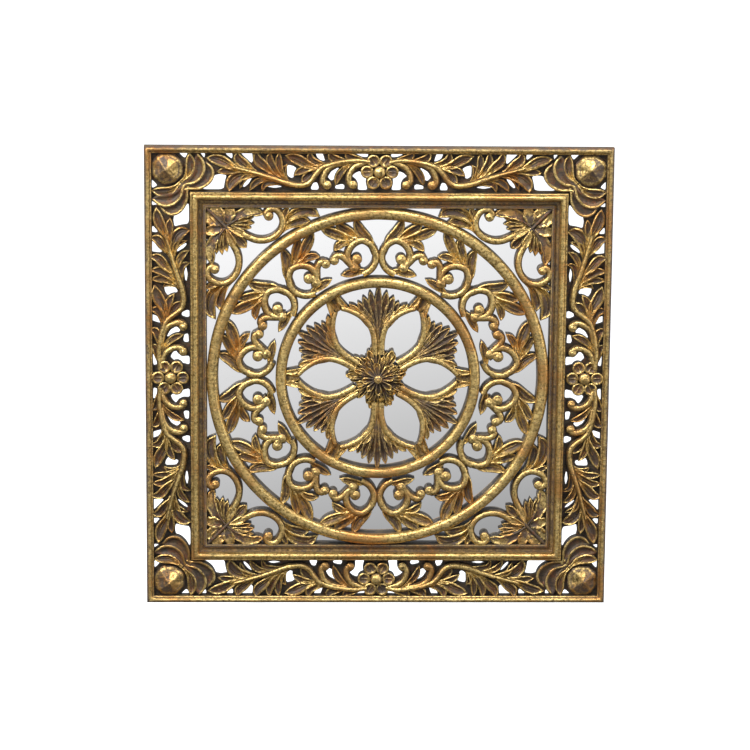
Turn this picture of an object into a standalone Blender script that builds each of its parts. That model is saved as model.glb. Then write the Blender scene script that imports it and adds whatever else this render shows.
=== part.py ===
"""Resin wall art panel: a gilded openwork casting with a mirror behind its inner field.

The front faces -Y, +X is to the right and +Z is up. The back lies in the plane y = 0, and the
origin is the point on the back where the panel hangs, on the top rail of the inner frame.
"""

from math import cos, hypot, pi, radians, sin

import bmesh
import bpy
import numpy as np
from mathutils.geometry import delaunay_2d_cdt

MM = 0.001

# Widths across the face, from the outside in
PANEL_SIDE = 0.760
RIM_WIDTH = 0.012
BORDER_WIDTH = 0.062
FRAME_WIDTH = 0.026
BIG_RING_WIDTH = 0.0185
INNER_RING_RADIUS = 0.1675
INNER_RING_WIDTH = 0.0175
ROSETTE_RADIUS = 0.049

# Depths in front of the wall
RIM_DEPTH = 0.024
RIM_SIDE_DEPTH = 0.018
FRAME_DEPTH = 0.030
STEP_DEPTH = 0.020
GROOVE_DEPTH = 0.0145
RING_DEPTH = 0.026
ROSETTE_DEPTH = 0.035
BUD_DEPTH = 0.028
STEM_DEPTH = 0.020
LEAF_DEPTH = 0.018
GOUGE_SHARE = 0.75
EDGE_DEPTH = 0.014
GROUND_DEPTH = 0.009

# Mirror in its recess
MIRROR_THICKNESS = 0.003
MIRROR_UNDER_FRAME = 0.006
MIRROR_INSET = 0.001
CLEARANCE = 0.0003

# Levels worked out from the sizes above
HALF_SIDE = PANEL_SIDE / 2
RIM_INNER = HALF_SIDE - RIM_WIDTH
FRAME_OUTER = RIM_INNER - BORDER_WIDTH
FIELD_HALF = FRAME_OUTER - FRAME_WIDTH
BIG_RING_INNER = FIELD_HALF - BIG_RING_WIDTH
INNER_RING_INNER = INNER_RING_RADIUS - INNER_RING_WIDTH
MIRROR_HALF = FIELD_HALF + MIRROR_UNDER_FRAME
RECESS_HALF = MIRROR_HALF + CLEARANCE
RECESS_DEPTH = MIRROR_INSET + MIRROR_THICKNESS + CLEARANCE
MOUNT_HEIGHT = (RECESS_HALF + FRAME_OUTER) / 2

# Fineness of the mesh
GRID = 0.001
TOUCH = 0.0003
OUTLINE_TOLERANCE = 0.0023
BAND_TOLERANCE = 0.0013
BACK_TOLERANCE = 0.0080
CLOSEST = 0.002
SMALLEST_OPENING_SIDE = 0.008
AXIS_STEP = 0.030
CREST_END = 0.18
CREST_TOLERANCE = 0.0020
CREST_SPACING = 0.007
RIDGE_SPACING = 0.008
GROUND_SPACING = 0.010
GROUND_MARGIN = 0.0015
CREST_MARGIN = 0.0025
RIDGE_MARGIN = 0.005
RING_SEGMENTS = 12
RING_FACET = 0.45

# The ornament is drawn in millimetres on a panel of 760 mm and fitted to the bands as built.
# A stroke is its kind, its half width and its points from root to tip.
DRAWN_HALF, DRAWN_RIM, DRAWN_FRAME, DRAWN_FIELD = 380, 368, 306, 280
DRAWN_ROSETTE, DRAWN_INNER_RING, DRAWN_INNER_RING_OUTSIDE, DRAWN_BIG_RING = 49, 150, 167.5, 261.5

CORNER_BUD = ("bud", 24, [(-343.5, 343.5)])
CORNER_LEAVES = [
    ("sepal", 10.5, [(-315, 311), (-293, 317), (-277, 333), (-280, 355)]),
    ("sepal", 9.5, [(-318, 317), (-300, 326), (-291, 343), (-294, 368)]),
    ("leaf", 7.5, [(-320, 321), (-309, 334), (-305, 349), (-307, 369)]),
]
VINE = [
    ("leaf", 8.5, [(-222, 341), (-240, 348), (-258, 357), (-280, 361)]),
    ("leaf", 6.0, [(-222, 338), (-243, 340), (-263, 338)]),
    ("leaf", 9.5, [(-198, 335), (-226, 331), (-239, 321), (-243, 305)]),
    ("leaf", 4.5, [(-190, 334), (-208, 332), (-219.5, 327), (-226, 310)]),
    ("leaf", 5.2, [(-172, 327), (-191, 325), (-203, 318), (-210, 307)]),
    ("leaf", 4.5, [(-152, 319), (-172, 320.5), (-185, 318), (-190, 305)]),
    ("leaf", 7.5, [(-200, 338), (-217, 350), (-228, 359), (-230, 372)]),
    ("leaf", 7.5, [(-168, 330), (-184, 346), (-197, 358), (-199, 373)]),
    ("leaf", 6.5, [(-154, 324), (-169, 341), (-177, 355), (-177, 372)]),
    ("leaf", 5.5, [(-150, 324), (-161, 343), (-163, 356), (-162, 371)]),
    ("leaf", 4.5, [(-144, 320), (-153, 330), (-155, 342), (-149, 351)]),
    ("leaf", 8.5, [(-95, 346), (-116, 350), (-134, 359), (-153, 365)]),
    ("leaf", 6.0, [(-96, 344), (-116, 343.5), (-129, 339), (-139, 332)]),
    ("leaf", 7.5, [(-90, 343), (-106, 338), (-117, 330), (-127, 321)]),
    ("leaf", 6.5, [(-82, 351), (-100, 352.5), (-111, 359), (-113, 373)]),
    ("leaf", 6.5, [(-50, 356), (-70, 359), (-78, 364), (-80, 373)]),
    ("leaf", 6.0, [(-22, 358), (-42, 361), (-51, 365), (-54, 373)]),
    ("leaf", 5.5, [(-42, 355), (-58, 343), (-67, 331), (-71.5, 316)]),
    ("curl", 5.2, [(-50, 355), (-72, 351), (-84, 343.5), (-91, 333), (-92.5, 322), (-89, 314.5),
                   (-83.5, 313), (-81, 317), (-84, 320.5)]),
    ("curl", 4.8, [(-20, 355), (-39, 348), (-48.5, 338), (-52, 326), (-49.5, 316.5), (-43.5, 313.5),
                   (-39.5, 317.5), (-42, 322)]),
    ("vine", 5.6, [(-236, 346), (-215, 340.5), (-195, 335), (-170, 327), (-150, 320), (-132, 316.8),
                   (-120, 318), (-111, 324), (-103, 335), (-93, 345.5), (-76, 352), (-55, 356),
                   (-35, 357.5), (-16, 355)]),
]
# Right through the border's dark ground; the leaves stand round them
BORDER_OPENINGS = [
    [(-325, 368), (-309, 368), (-314.5, 358)],
    [(-290, 368), (-281.5, 368), (-283, 358.5)],
    [(-288, 308), (-276, 318), (-266, 332), (-258, 333.5), (-247, 332), (-250, 322), (-252, 308)],
    [(-249, 366), (-246, 368.5), (-238, 368.5), (-237.5, 361), (-239.5, 358)],
    [(-225, 368), (-221, 370), (-206, 370), (-204.5, 355), (-207, 351), (-215, 358)],
    [(-221, 312.5), (-218, 312), (-212, 317), (-206, 327), (-207, 329), (-213, 325), (-219, 318)],
    [(-183, 313), (-172, 316.5), (-159, 314.5), (-157.5, 312.5), (-170, 310.5)],
    [(-149.5, 347), (-147, 349), (-140, 347.5), (-134, 343.5), (-138, 337), (-139, 328), (-143, 327),
     (-149, 331)],
    [(-111, 312), (-107, 320), (-101, 321), (-98, 313), (-99, 308), (-110, 308)],
    [(-104, 370), (-94, 371), (-91, 365), (-88, 355), (-95, 355.5), (-101, 361)],
    [(-84, 329), (-78, 339), (-67, 345), (-65.5, 343.5), (-70, 333), (-73.5, 325), (-78, 323)],
    [(-72, 310), (-71, 316), (-60, 318.5), (-56.5, 316), (-57, 309)],
    [(-45, 331), (-39, 336.5), (-32, 339.5), (-27, 334), (-21, 329.5), (-22.5, 321), (-19, 308), (-35, 308),
     (-34.5, 319), (-38, 326)],
    [(-38, 368.5), (-18, 367.5), (-19.5, 361), (-36, 363)],
]
FLOWER_CENTRE = (0, 339)
FLOWER_PETALS = 6
FLOWER_PETAL = ("cup", 9.8, [(20.5, 0)])
FLOWER_BUTTON = ("ball", 8.5, [(0, 0)])
CORNER_SPRAY = [
    ("leaf", 5.5, [(-247, 252), (-256, 266), (-264, 283)]),
    ("leaf", 5.0, [(-245, 254), (-249, 268), (-252, 283)]),
    ("leaf", 4.8, [(-243, 255), (-239, 267), (-236, 282)]),
    ("leaf", 5.0, [(-243, 251), (-224, 250), (-207, 246)]),
    ("leaf", 5.2, [(-243, 252), (-222, 256), (-202, 254)]),
    ("leaf", 5.0, [(-242, 253), (-222, 261), (-203, 264)]),
    ("leaf", 7.0, [(-242, 254), (-226, 267), (-207, 275), (-188, 271)]),
    ("leaf", 6.5, [(-248, 248), (-232, 243), (-213, 232)]),
    ("curl", 5.2, [(-222, 238), (-210, 231.5), (-198, 227.5), (-184, 227.5), (-170, 233), (-159.5, 243.5),
                   (-156, 257), (-160, 270), (-168, 277.5), (-178, 277.5), (-183.5, 270.5), (-180, 264.5),
                   (-174.5, 267.5)]),
    ("leaf", 4.8, [(-155, 252), (-153.5, 267), (-147, 283)]),
    ("leaf", 8.5, [(-158, 246), (-148, 262), (-131, 273), (-113, 275), (-96, 265)]),
    ("leaf", 7.5, [(-158, 241), (-143, 254), (-127, 259), (-111, 258)]),
]
CORNER_END = ("leaf", 7.5, [(-236, 236), (-226, 226), (-214.5, 214.5)])
SPRAY_GROUND = ("ground", 14, [(-268, 268), (-247, 247), (-236, 236)])
SCROLL_COPIES = 8
SCROLL = [
    ("leaf", 5.8, [(-14, 176), (-30, 176.5), (-46, 173.5), (-62, 169)]),
    ("leaf", 5.5, [(-40, 224), (-56, 223), (-66, 218), (-74, 209)]),
    ("leaf", 8.5, [(-34, 228), (-55, 232), (-76, 239), (-97, 248)]),
    ("leaf", 7.0, [(-28, 228), (-45, 239), (-60, 247), (-72, 257)]),
    ("leaf", 7.5, [(-8, 208), (-15, 226), (-31, 243), (-40, 264)]),
    ("curl", 5.2, [(-6, 206), (-13, 220), (-26, 227.5), (-38, 224), (-47, 215), (-51, 203), (-48, 191),
                   (-40, 183)]),
    ("curl", 4.4, [(-38, 182), (-48, 190), (-57, 199.5), (-66, 204), (-74, 202), (-78, 195.5), (-74.5, 189.5),
                   (-69.5, 191)]),
    ("curl", 4.4, [(-34, 180), (-39.5, 188), (-41.5, 197), (-37, 203.5), (-30.5, 203), (-28.5, 197),
                   (-33.5, 195)]),
    ("stem", 5.2, [(-26, 172), (-14, 179), (-6.5, 190), (-4.8, 202), (-8, 214)]),
]
PETAL_LOOPS = 6
PETAL_BAND = [
    ("wedge", 9.0, [(-64, 110.8), (-70, 121.2), (-77, 133.4)]),
    ("leaf", 3.8, [(-43, 111), (-54, 119), (-62.5, 127), (-69, 139)]),
    ("leaf", 4.8, [(-22, 101), (-33, 110), (-40, 116), (-48, 123)]),
    ("leaf", 4.8, [(-7, 82), (-11, 94), (-18, 103), (-27, 111)]),
    ("band", 6.0, [(-4.8, 40), (-5, 60), (-7.8, 76), (-13.5, 89), (-23, 99.5), (-35, 107.5), (-49, 113.5),
                   (-60, 116)]),
]
FAN_BASE = (0, 68)
FAN_LOBES = [(33.5, 68, 6.5), (23.5, 70, 7), (13, 76, 7), (0, 84, 7)]
ROSETTE_TIERS = [(9, 50, 9, 0.45), (9, 37, 7, 0.62), (8, 26, 5.5, 0.80)]
ROSETTE_BUTTON = ("button", 7, [(0, 0)])


def clear_scene():
    for obj in list(bpy.data.objects):
        bpy.data.objects.remove(obj, do_unlink=True)


def turned(points, degrees):
    c = cos(radians(degrees))
    s = sin(radians(degrees))
    return [(x * c - z * s, x * s + z * c) for x, z in points]


def flipped(points):
    return [(-x, z) for x, z in points]


def across_diagonal(points):
    return [(-z, -x) for x, z in points]


def copies_round(strokes, count):
    """Each stroke and its mirror image, turned round the centre."""
    made = []
    for k in range(count):
        for kind, half, points in strokes:
            made.append((kind, half, turned(points, 360 * k / count)))
            made.append((kind, half, turned(flipped(points), 360 * k / count)))
    return made


def fitted(values, drawn, built):
    return np.interp(values, [d * MM for d in drawn], built)


def on_square(points):
    """Fit drawn points to the square bands: each coordinate is stretched by itself."""
    p = np.array(points, float) * MM
    drawn = (0, DRAWN_FIELD, DRAWN_FRAME, DRAWN_RIM, DRAWN_HALF)
    built = (0, FIELD_HALF, FRAME_OUTER, RIM_INNER, HALF_SIDE)
    return np.sign(p) * fitted(abs(p), drawn, built)


def on_rings(points):
    """Fit drawn points to the round bands: each radius is stretched, its angle kept."""
    p = np.array(points, float) * MM
    radius = np.maximum(np.hypot(p[:, 0], p[:, 1]), 1e-9)
    drawn = (0, DRAWN_ROSETTE, DRAWN_INNER_RING, DRAWN_INNER_RING_OUTSIDE, DRAWN_BIG_RING, DRAWN_FIELD)
    built = (0, ROSETTE_RADIUS, INNER_RING_INNER, INNER_RING_RADIUS, BIG_RING_INNER, FIELD_HALF)
    return p * (fitted(radius, drawn, built) / radius)[:, None]


def flower_strokes():
    strokes = []
    kind, half, points = FLOWER_PETAL
    for k in range(FLOWER_PETALS):
        petal = turned(points, 360 * k / FLOWER_PETALS)
        strokes.append((kind, half, [(x + FLOWER_CENTRE[0], z + FLOWER_CENTRE[1]) for x, z in petal]))
    kind, half, _ = FLOWER_BUTTON
    strokes.append((kind, half, [FLOWER_CENTRE]))
    return strokes


def fan_strokes():
    strokes = []
    base_x, base_z = FAN_BASE
    for degrees, length, half in FAN_LOBES:
        a = radians(90 + degrees)
        along = [(base_x + length * f * cos(a), base_z + length * f * sin(a)) for f in (0, 0.5, 1)]
        strokes.append(("lobe", half, along))
    return strokes


def rosette_strokes():
    strokes = []
    for count, radius, half, share in ROSETTE_TIERS:
        for k in range(count):
            a = 360 * (k + 0.5) / count
            strokes.append((f"tier {share}", half, turned([(0, radius * f) for f in (0, 0.5, 1)], a)))
    strokes.append(ROSETTE_BUTTON)
    return strokes


def all_strokes():
    """Every stroke of the ornament as (kind, half width, points), in metres."""
    border = BORDER_WIDTH / ((DRAWN_RIM - DRAWN_FRAME) * MM)
    field = FIELD_HALF / (DRAWN_FIELD * MM)
    band = (BIG_RING_INNER - INNER_RING_RADIUS) / ((DRAWN_BIG_RING - DRAWN_INNER_RING_OUTSIDE) * MM)
    middle = (INNER_RING_INNER - ROSETTE_RADIUS) / ((DRAWN_INNER_RING - DRAWN_ROSETTE) * MM)
    rosette = ROSETTE_RADIUS / (DRAWN_ROSETTE * MM)
    made = []
    for (kind, half, points), scale in ((CORNER_BUD, border), (SPRAY_GROUND, field), (CORNER_END, field)):
        made.append((kind, half * scale * MM, on_square(points)))
    for strokes, scale in ((CORNER_LEAVES + VINE + flower_strokes(), border), (CORNER_SPRAY, field)):
        for kind, half, points in strokes:
            for version in (points, across_diagonal(points)):
                made.append((kind, half * scale * MM, on_square(version)))
    rounds = ((copies_round(SCROLL, SCROLL_COPIES), band),
              (copies_round(PETAL_BAND + fan_strokes(), PETAL_LOOPS), middle),
              (rosette_strokes(), rosette))
    for strokes, scale in rounds:
        for kind, half, points in strokes:
            made.append((kind, half * scale * MM, on_rings(points)))
    return made


def smooth_line(points, steps=8):
    """A smooth line through the points (Catmull-Rom)."""
    p = np.vstack([2 * points[0] - points[1], points, 2 * points[-1] - points[-2]])
    line = []
    for a, b, c, d in zip(p[:-3], p[1:-2], p[2:-1], p[3:]):
        for k in range(steps):
            t = k / steps
            bend = (2 * a - 5 * b + 4 * c - d) * t * t + (3 * b - a - 3 * c + d) * t ** 3
            line.append(0.5 * (2 * b + (c - a) * t + bend))
    line.append(points[-1])
    return np.array(line)


def shares_along(line):
    steps = np.hypot(*np.diff(line, axis=0).T)
    run = np.concatenate([[0], np.cumsum(steps)])
    return run / run[-1]


def width_share(kind, t):
    """Half width along a stroke, from root (0) to tip (1), as a share of its widest."""
    if kind == "wedge":
        return 0.55 + 0.45 * t
    if kind in ("leaf", "sepal"):
        return np.maximum(np.sin(pi * t ** 1.15) ** 0.7, 0.35 * (1 - t))
    if kind == "lobe":
        return np.maximum(np.sin(pi * t ** 1.9) ** 0.6, 0.25 * (1 - t))
    if kind.startswith("tier"):
        return np.maximum(np.sin(pi * t ** 1.9) ** 0.55, 0.4 * (1 - t))
    if kind == "curl":
        return 1 - 0.25 * t
    if kind == "vine":
        return 1 - 0.4 * t
    return np.ones_like(t)


LAYERS = ("ground", "wedge", "sepal", "leaf", "lobe", "cup", "bud", "band", "curl", "vine", "stem", "tier",
          "ball", "button")
GOUGED = ("wedge", "sepal", "leaf", "lobe", "tier")
# Rings of points round a boss: share of its radius and number of points
BOSS_RINGS = {"bud": ((0.5, 8), (0.97, 12)), "cup": ((0.95, 8),), "button": ((0.9, 8),), "ball": ((0.9, 6),)}
ROUND = tuple(BOSS_RINGS)


def layer(kind):
    """Strokes of a later layer lie over those of an earlier one."""
    return LAYERS.index(kind.split()[0])


def depth_across(kind, half, u, t):
    """Depth of a stroke's face at u, 0 on its middle line and 1 at its edge."""
    round_share = np.sqrt(np.clip(1 - u * u, 0, 1))
    gouge = GOUGE_SHARE * half * (1 - u) * np.sin(pi * np.clip(t, 0.15, 0.85))
    if kind in ("leaf", "lobe"):
        return LEAF_DEPTH - gouge
    if kind == "sepal":
        return LEAF_DEPTH - 0.7 * gouge
    if kind == "wedge":
        return EDGE_DEPTH - 0.5 * gouge
    if kind == "ground":
        return np.full(np.shape(u), GROUND_DEPTH)
    if kind == "cup":
        return STEM_DEPTH - 0.4 * half * (1 - u)
    if kind == "bud":
        return BUD_DEPTH - (BUD_DEPTH - EDGE_DEPTH) * u ** 1.5
    if kind == "button":
        return ROSETTE_DEPTH - (ROSETTE_DEPTH - BUD_DEPTH) * u * u
    if kind.startswith("tier"):
        top = EDGE_DEPTH + (ROSETTE_DEPTH - EDGE_DEPTH) * float(kind.split()[1])
        return top - gouge * 0.5
    if kind == "ball":
        return EDGE_DEPTH + (BUD_DEPTH - EDGE_DEPTH) * 0.7 * round_share
    return EDGE_DEPTH + (STEM_DEPTH - EDGE_DEPTH) * round_share


FRAME_PROFILE = (
    (0.0, STEP_DEPTH), (0.03, STEP_DEPTH), (0.22, STEP_DEPTH), (0.29, GROOVE_DEPTH), (0.47, GROOVE_DEPTH),
    (0.55, 0.8 * FRAME_DEPTH), (0.71, FRAME_DEPTH), (0.88, 0.9 * FRAME_DEPTH), (1.0, EDGE_DEPTH),
)
RIM_PROFILE = ((0.0, EDGE_DEPTH), (0.3, 0.97 * RIM_DEPTH), (0.7, RIM_DEPTH), (1.0, RIM_SIDE_DEPTH))


def rail_lines():
    """Distance from the centre and depth of each ridge and valley that runs round the rails."""
    frame = [(FIELD_HALF + share * FRAME_WIDTH, depth) for share, depth in FRAME_PROFILE]
    rim = [(RIM_INNER + share * RIM_WIDTH, depth) for share, depth in RIM_PROFILE]
    return frame, rim


def ring_depth(radius, outer, width):
    u = abs(radius - (outer - width / 2)) / (width / 2)
    return EDGE_DEPTH + (RING_DEPTH - EDGE_DEPTH) * np.sqrt(np.clip(1 - u * u, 0, 1))


class Relief:
    """The casting as seen from the front: where there is material, and how deep it stands."""

    def __init__(self):
        self.strokes = []
        for kind, half, points in sorted(all_strokes(), key=lambda stroke: layer(stroke[0])):
            if kind in ROUND:
                points = np.vstack([points, points + 1e-6])
            line = smooth_line(points)
            t = shares_along(line)
            self.strokes.append((kind, half, line, t, half * width_share(kind, t)))
        self.openings = []
        for shape in BORDER_OPENINGS:
            self.openings += [on_square(shape), on_square(across_diagonal(shape))]
        self.frame, self.rim = rail_lines()
        self.rings = ((FIELD_HALF, BIG_RING_WIDTH), (INNER_RING_RADIUS, INNER_RING_WIDTH))

    def at(self, points):
        """How far inside the material each point lies, and the depth of the face there."""
        square = np.max(abs(points), axis=1)
        radius = np.hypot(points[:, 0], points[:, 1])
        ground = self.ground(points, square)
        cover = np.where(ground > -TOUCH, ground, -1.0)
        depth = np.full(len(points), np.where(square > FRAME_OUTER, GROUND_DEPTH, EDGE_DEPTH))

        def add(rows, inside, height):
            nearest = (cover[rows] < -TOUCH) & (inside > cover[rows])
            depth[rows] = np.where((inside > -TOUCH) | nearest, height, depth[rows])
            cover[rows] = np.maximum(cover[rows], inside)

        for rows, inside, height in self.stroke_covers(points):
            add(rows, inside, height)
        in_border = (square > FRAME_OUTER) & (square < RIM_INNER)
        cover[in_border] = np.minimum(cover[in_border], self.clear_of_openings(points[in_border]))
        everywhere = slice(None)
        for outer, width in self.rings:
            inside = width / 2 - abs(radius - (outer - width / 2))
            add(everywhere, inside, ring_depth(radius, outer, width))
        for profile in (self.frame, self.rim):
            low, high = profile[0][0], profile[-1][0]
            inside = np.minimum(square - low, high - square)
            add(everywhere, inside, np.interp(square, *zip(*profile)))
        return cover, depth

    def stroke_covers(self, points):
        """For each stroke: the points near it, how far inside it they lie, and its depth there."""
        for kind, half, line, t, halves in self.strokes:
            low = line.min(axis=0) - 1.5 * half
            high = line.max(axis=0) + 1.5 * half
            rows = np.nonzero(np.all((points > low) & (points < high), axis=1))[0]
            if len(rows) == 0:
                continue
            away = points[rows, None, :] - line[None, :, :]
            distance = np.hypot(away[..., 0], away[..., 1])
            nearest = np.argmax(halves[None, :] - distance, axis=1)
            picked = distance[np.arange(len(rows)), nearest]
            u = np.clip(picked / np.maximum(halves[nearest], 1e-6), 0, 1)
            yield rows, halves[nearest] - picked, depth_across(kind, half, u, t[nearest])

    def clear_of_openings(self, points):
        """How far each point lies outside the nearest opening of the border, less than 0 inside one."""
        away = off_loops(points, self.openings)
        return np.where(within(points, self.openings), -away, away)

    def ground(self, points, square):
        """How far inside the border's dark ground each point lies. It runs on under both rails."""
        inside = np.full(len(points), -1.0)
        rows = (square > FRAME_OUTER - GRID) & (square < RIM_INNER + GRID)
        band = np.minimum(square[rows] - FRAME_OUTER, RIM_INNER - square[rows]) + 3 * GRID
        inside[rows] = np.minimum(band, self.clear_of_openings(points[rows]))
        return inside

    def bare_ground(self):
        """Points of the border where its ground shows between the leaves."""
        ticks = np.arange(GROUND_SPACING / 4, RIM_INNER, GROUND_SPACING / 4)
        spots = np.stack(np.meshgrid(-ticks, ticks, indexing="ij"), axis=-1).reshape(-1, 2)
        square = np.max(abs(spots), axis=1)
        spots = spots[(square > FRAME_OUTER + GRID) & (square < RIM_INNER - GRID)]
        bare = self.ground(spots, np.max(abs(spots), axis=1))
        for rows, inside, _ in self.stroke_covers(spots):
            bare[rows] = np.minimum(bare[rows], -inside)
        return spots[bare > GROUND_MARGIN]

    def crests(self):
        """Lines along the middle of each stroke, the top layer first."""
        lines = []
        for kind, half, line, t, halves in reversed(self.strokes):
            inner = line[:1] if kind in ROUND else line[(t > CREST_END) & (t < 1 - CREST_END)]
            lines.append(np.array(thinned(inner, CREST_TOLERANCE)))
        return lines

    def ridges(self):
        """Points on both edges of each gouged stroke, and round each boss."""
        edges = []
        for kind, half, line, t, halves in reversed(self.strokes):
            if kind in ROUND:
                for share, sides in BOSS_RINGS[kind]:
                    ring = [(cos(2 * pi * k / sides), sin(2 * pi * k / sides)) for k in range(sides)]
                    edges.extend(line[0] + share * half * np.array(ring))
            if kind.split()[0] in GOUGED:
                at = np.linspace(0.2, 0.8, 3)
                middle = np.stack([np.interp(at, t, line[:, k]) for k in (0, 1)], axis=1)
                ahead = np.stack([np.interp(at + 0.01, t, line[:, k]) for k in (0, 1)], axis=1) - middle
                aside = np.stack([-ahead[:, 1], ahead[:, 0]], axis=1)
                aside *= (np.interp(at, t, halves) / np.maximum(np.hypot(*aside.T), 1e-9))[:, None]
                edges.extend(middle + aside)
                edges.extend(middle - aside)
        return np.array(edges)


def outlines(field, xs, zs):
    """Closed loops round the cells' inside corners, with the material on the left."""
    inside = field > 0

    def crossing(a, b):
        (i0, j0), (i1, j1) = a, b
        f0, f1 = field[i0, j0], field[i1, j1]
        if f0 == -1.0 or f1 == -1.0:
            keep = a if f1 == -1.0 else b
            return xs[keep[0]], zs[keep[1]]
        share = min(max(f0 / (f0 - f1), 0.05), 0.95)
        return xs[i0] + share * (xs[i1] - xs[i0]), zs[j0] + share * (zs[j1] - zs[j0])

    mixed = np.zeros(inside[:-1, :-1].shape, bool)
    for other in (inside[1:, :-1], inside[:-1, 1:], inside[1:, 1:]):
        mixed |= inside[:-1, :-1] != other
    following = {}
    places = {}
    for i, j in zip(*np.nonzero(mixed)):
        corners = [(i, j), (i + 1, j), (i + 1, j + 1), (i, j + 1)]
        enters = []
        leaves = []
        for k in range(4):
            a, b = corners[k], corners[(k + 1) % 4]
            if inside[a] != inside[b]:
                key = (min(a, b), max(a, b))
                places[key] = crossing(a, b)
                if inside[b]:
                    enters.append((k, key))
                else:
                    leaves.append((k, key))
        for k, key in enters:
            after = min(leaves, key=lambda leave: (leave[0] - k) % 4)
            following[after[1]] = key
    loops = []
    while following:
        start, key = following.popitem()
        loop = [start]
        while key != start:
            loop.append(key)
            key = following.pop(key)
        points = [places[key] for key in loop]
        tidy = [p for p, q in zip(points, points[1:] + points[:1]) if p != q]
        loops.append(np.array(tidy))
    return loops


def thinned(run, tolerance):
    """Douglas-Peucker: drop the points that lie within the tolerance of a straight run."""
    if len(run) < 3:
        return list(run)
    chord = run[-1] - run[0]
    away = run - run[0]
    length = hypot(*chord)
    if length < tolerance:
        distance = np.hypot(away[:, 0], away[:, 1])
    else:
        distance = abs(chord[0] * away[:, 1] - chord[1] * away[:, 0]) / length
    far = int(np.argmax(distance))
    if distance[far] <= tolerance:
        return [run[0], run[-1]]
    return thinned(run[:far + 1], tolerance)[:-1] + thinned(run[far:], tolerance)


def on_axis(a, b):
    return (abs(a[0]) < 1e-9 and abs(b[0]) < 1e-9) or (abs(a[1]) < 1e-9 and abs(b[1]) < 1e-9)


def follows(a, b):
    """What the piece of outline from a to b follows: a mirror axis, a rail or ring, or a leaf."""
    if on_axis(a, b):
        return "axis"
    for distance in (FIELD_HALF, FRAME_OUTER, RIM_INNER):
        if max(abs(np.max(abs(p)) - distance) for p in (a, b)) < TOUCH:
            return "rail"
    for radius in (FIELD_HALF, BIG_RING_INNER, INNER_RING_RADIUS, INNER_RING_INNER):
        if max(abs(hypot(*p) - radius) for p in (a, b)) < TOUCH:
            return "ring"
    return "leaf"


def simple_loop(loop, fine, step):
    """A loop with few points, cut where it passes from one thing it follows to another."""
    count = len(loop)
    along = [follows(loop[k], loop[(k + 1) % count]) for k in range(count)]
    for k in range(count):
        if along[k] not in ("axis", along[k - 1]) and along[(k + 1) % count] != along[k]:
            along[k] = along[k - 1] if along[k - 1] != "axis" else "leaf"
    corner = [along[k] == "axis" and not loop[k].any() for k in range(count)]
    anchors = [k for k in range(count) if along[k] != along[k - 1] or corner[k]]
    if not anchors:
        anchors = [0, int(np.argmax(np.hypot(*(loop - loop[0]).T)))]
    points = []
    for a, b in zip(anchors, anchors[1:] + [anchors[0] + count]):
        run = np.array([loop[k % count] for k in range(a, b + 1)])
        if along[a] == "axis":
            steps = max(1, round(hypot(*(run[-1] - run[0])) / step))
            points.extend(run[0] + (run[-1] - run[0]) * k / steps for k in range(steps))
        else:
            points.extend(thinned(run, fine if along[a] == "leaf" else min(fine, BAND_TOLERANCE))[:-1])
    return drop_close(np.array(points))


def coarser(loop, tolerance):
    """Which points of a loop to keep for the plain back of the casting."""
    count = len(loop)
    along = [on_axis(loop[k], loop[(k + 1) % count]) for k in range(count)]
    anchors = [k for k in range(count) if along[k] != along[k - 1] or (along[k] and not loop[k].any())]
    if not anchors:
        anchors = [0, int(np.argmax(np.hypot(*(loop - loop[0]).T)))]
    rows = []
    for a, b in zip(anchors, anchors[1:] + [anchors[0] + count]):
        run = np.array([loop[k % count] for k in range(a, b + 1)])
        kept = [run[0]] if along[a] else thinned(run, tolerance)[:-1]
        if len(kept) == 1 and not along[a] and on_axis(run[0], run[-1]):
            kept.append(max(run[1:-1], key=lambda point: hypot(*(point - run[0]))))
        at = 0
        for point in kept:
            while (run[at] != point).any():
                at += 1
            rows.append((a + at) % count)
    return rows


def drop_close(loop):
    """Leave out points that crowd the one before, except where a mirror axis needs them."""
    kept = []
    for point, after in zip(loop, np.roll(loop, -1, axis=0)):
        if kept and hypot(*(point - kept[-1])) < CLOSEST and abs(point).min() > 1e-9:
            continue
        kept.append(point)
    return np.array(kept)


def area(loop):
    x, z = loop.T
    return abs(np.dot(x, np.roll(z, -1)) - np.dot(z, np.roll(x, -1))) / 2


def within(points, loops):
    """Which points lie inside the material, by counting the loops' edges to their right."""
    hits = np.zeros(len(points), int)
    for loop in loops:
        a = loop
        b = np.roll(loop, -1, axis=0)
        for (ax, az), (bx, bz) in zip(a, b):
            if az != bz:
                spans = (az > points[:, 1]) != (bz > points[:, 1])
                x = ax + (points[:, 1] - az) * (bx - ax) / (bz - az)
                hits += spans & (x > points[:, 0])
    return hits % 2 == 1


def off_loops(points, loops):
    """Distance from each point to the nearest edge of the loops."""
    nearest = np.full(len(points), 1.0)
    for loop in loops:
        for a, b in zip(loop, np.roll(loop, -1, axis=0)):
            chord = b - a
            share = np.clip(((points - a) @ chord) / max(chord @ chord, 1e-18), 0, 1)
            away = points - (a + share[:, None] * chord)
            nearest = np.minimum(nearest, np.hypot(away[:, 0], away[:, 1]))
    return nearest


def spread_out(candidates, taken, spacing):
    """The candidates that keep their distance from the points taken before them."""
    taken = [np.array(p) for p in taken]
    kept = []
    for point in candidates:
        away = np.array(taken) - point
        if np.min(np.hypot(away[:, 0], away[:, 1])) > spacing:
            kept.append(point)
            taken.append(point)
    return kept


def corner_line(distance):
    """A line round the top-left corner of the square, from axis to axis."""
    return np.array([(-distance, 0.0), (-distance, distance), (0.0, distance)])


def quarter_arc(radius, segments):
    angles = [pi / 2 + pi / 2 * k / segments for k in range(segments + 1)]
    arc = np.array([(radius * cos(a), radius * sin(a)) for a in angles])
    arc[abs(arc) < 1e-9] = 0.0
    return arc


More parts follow.
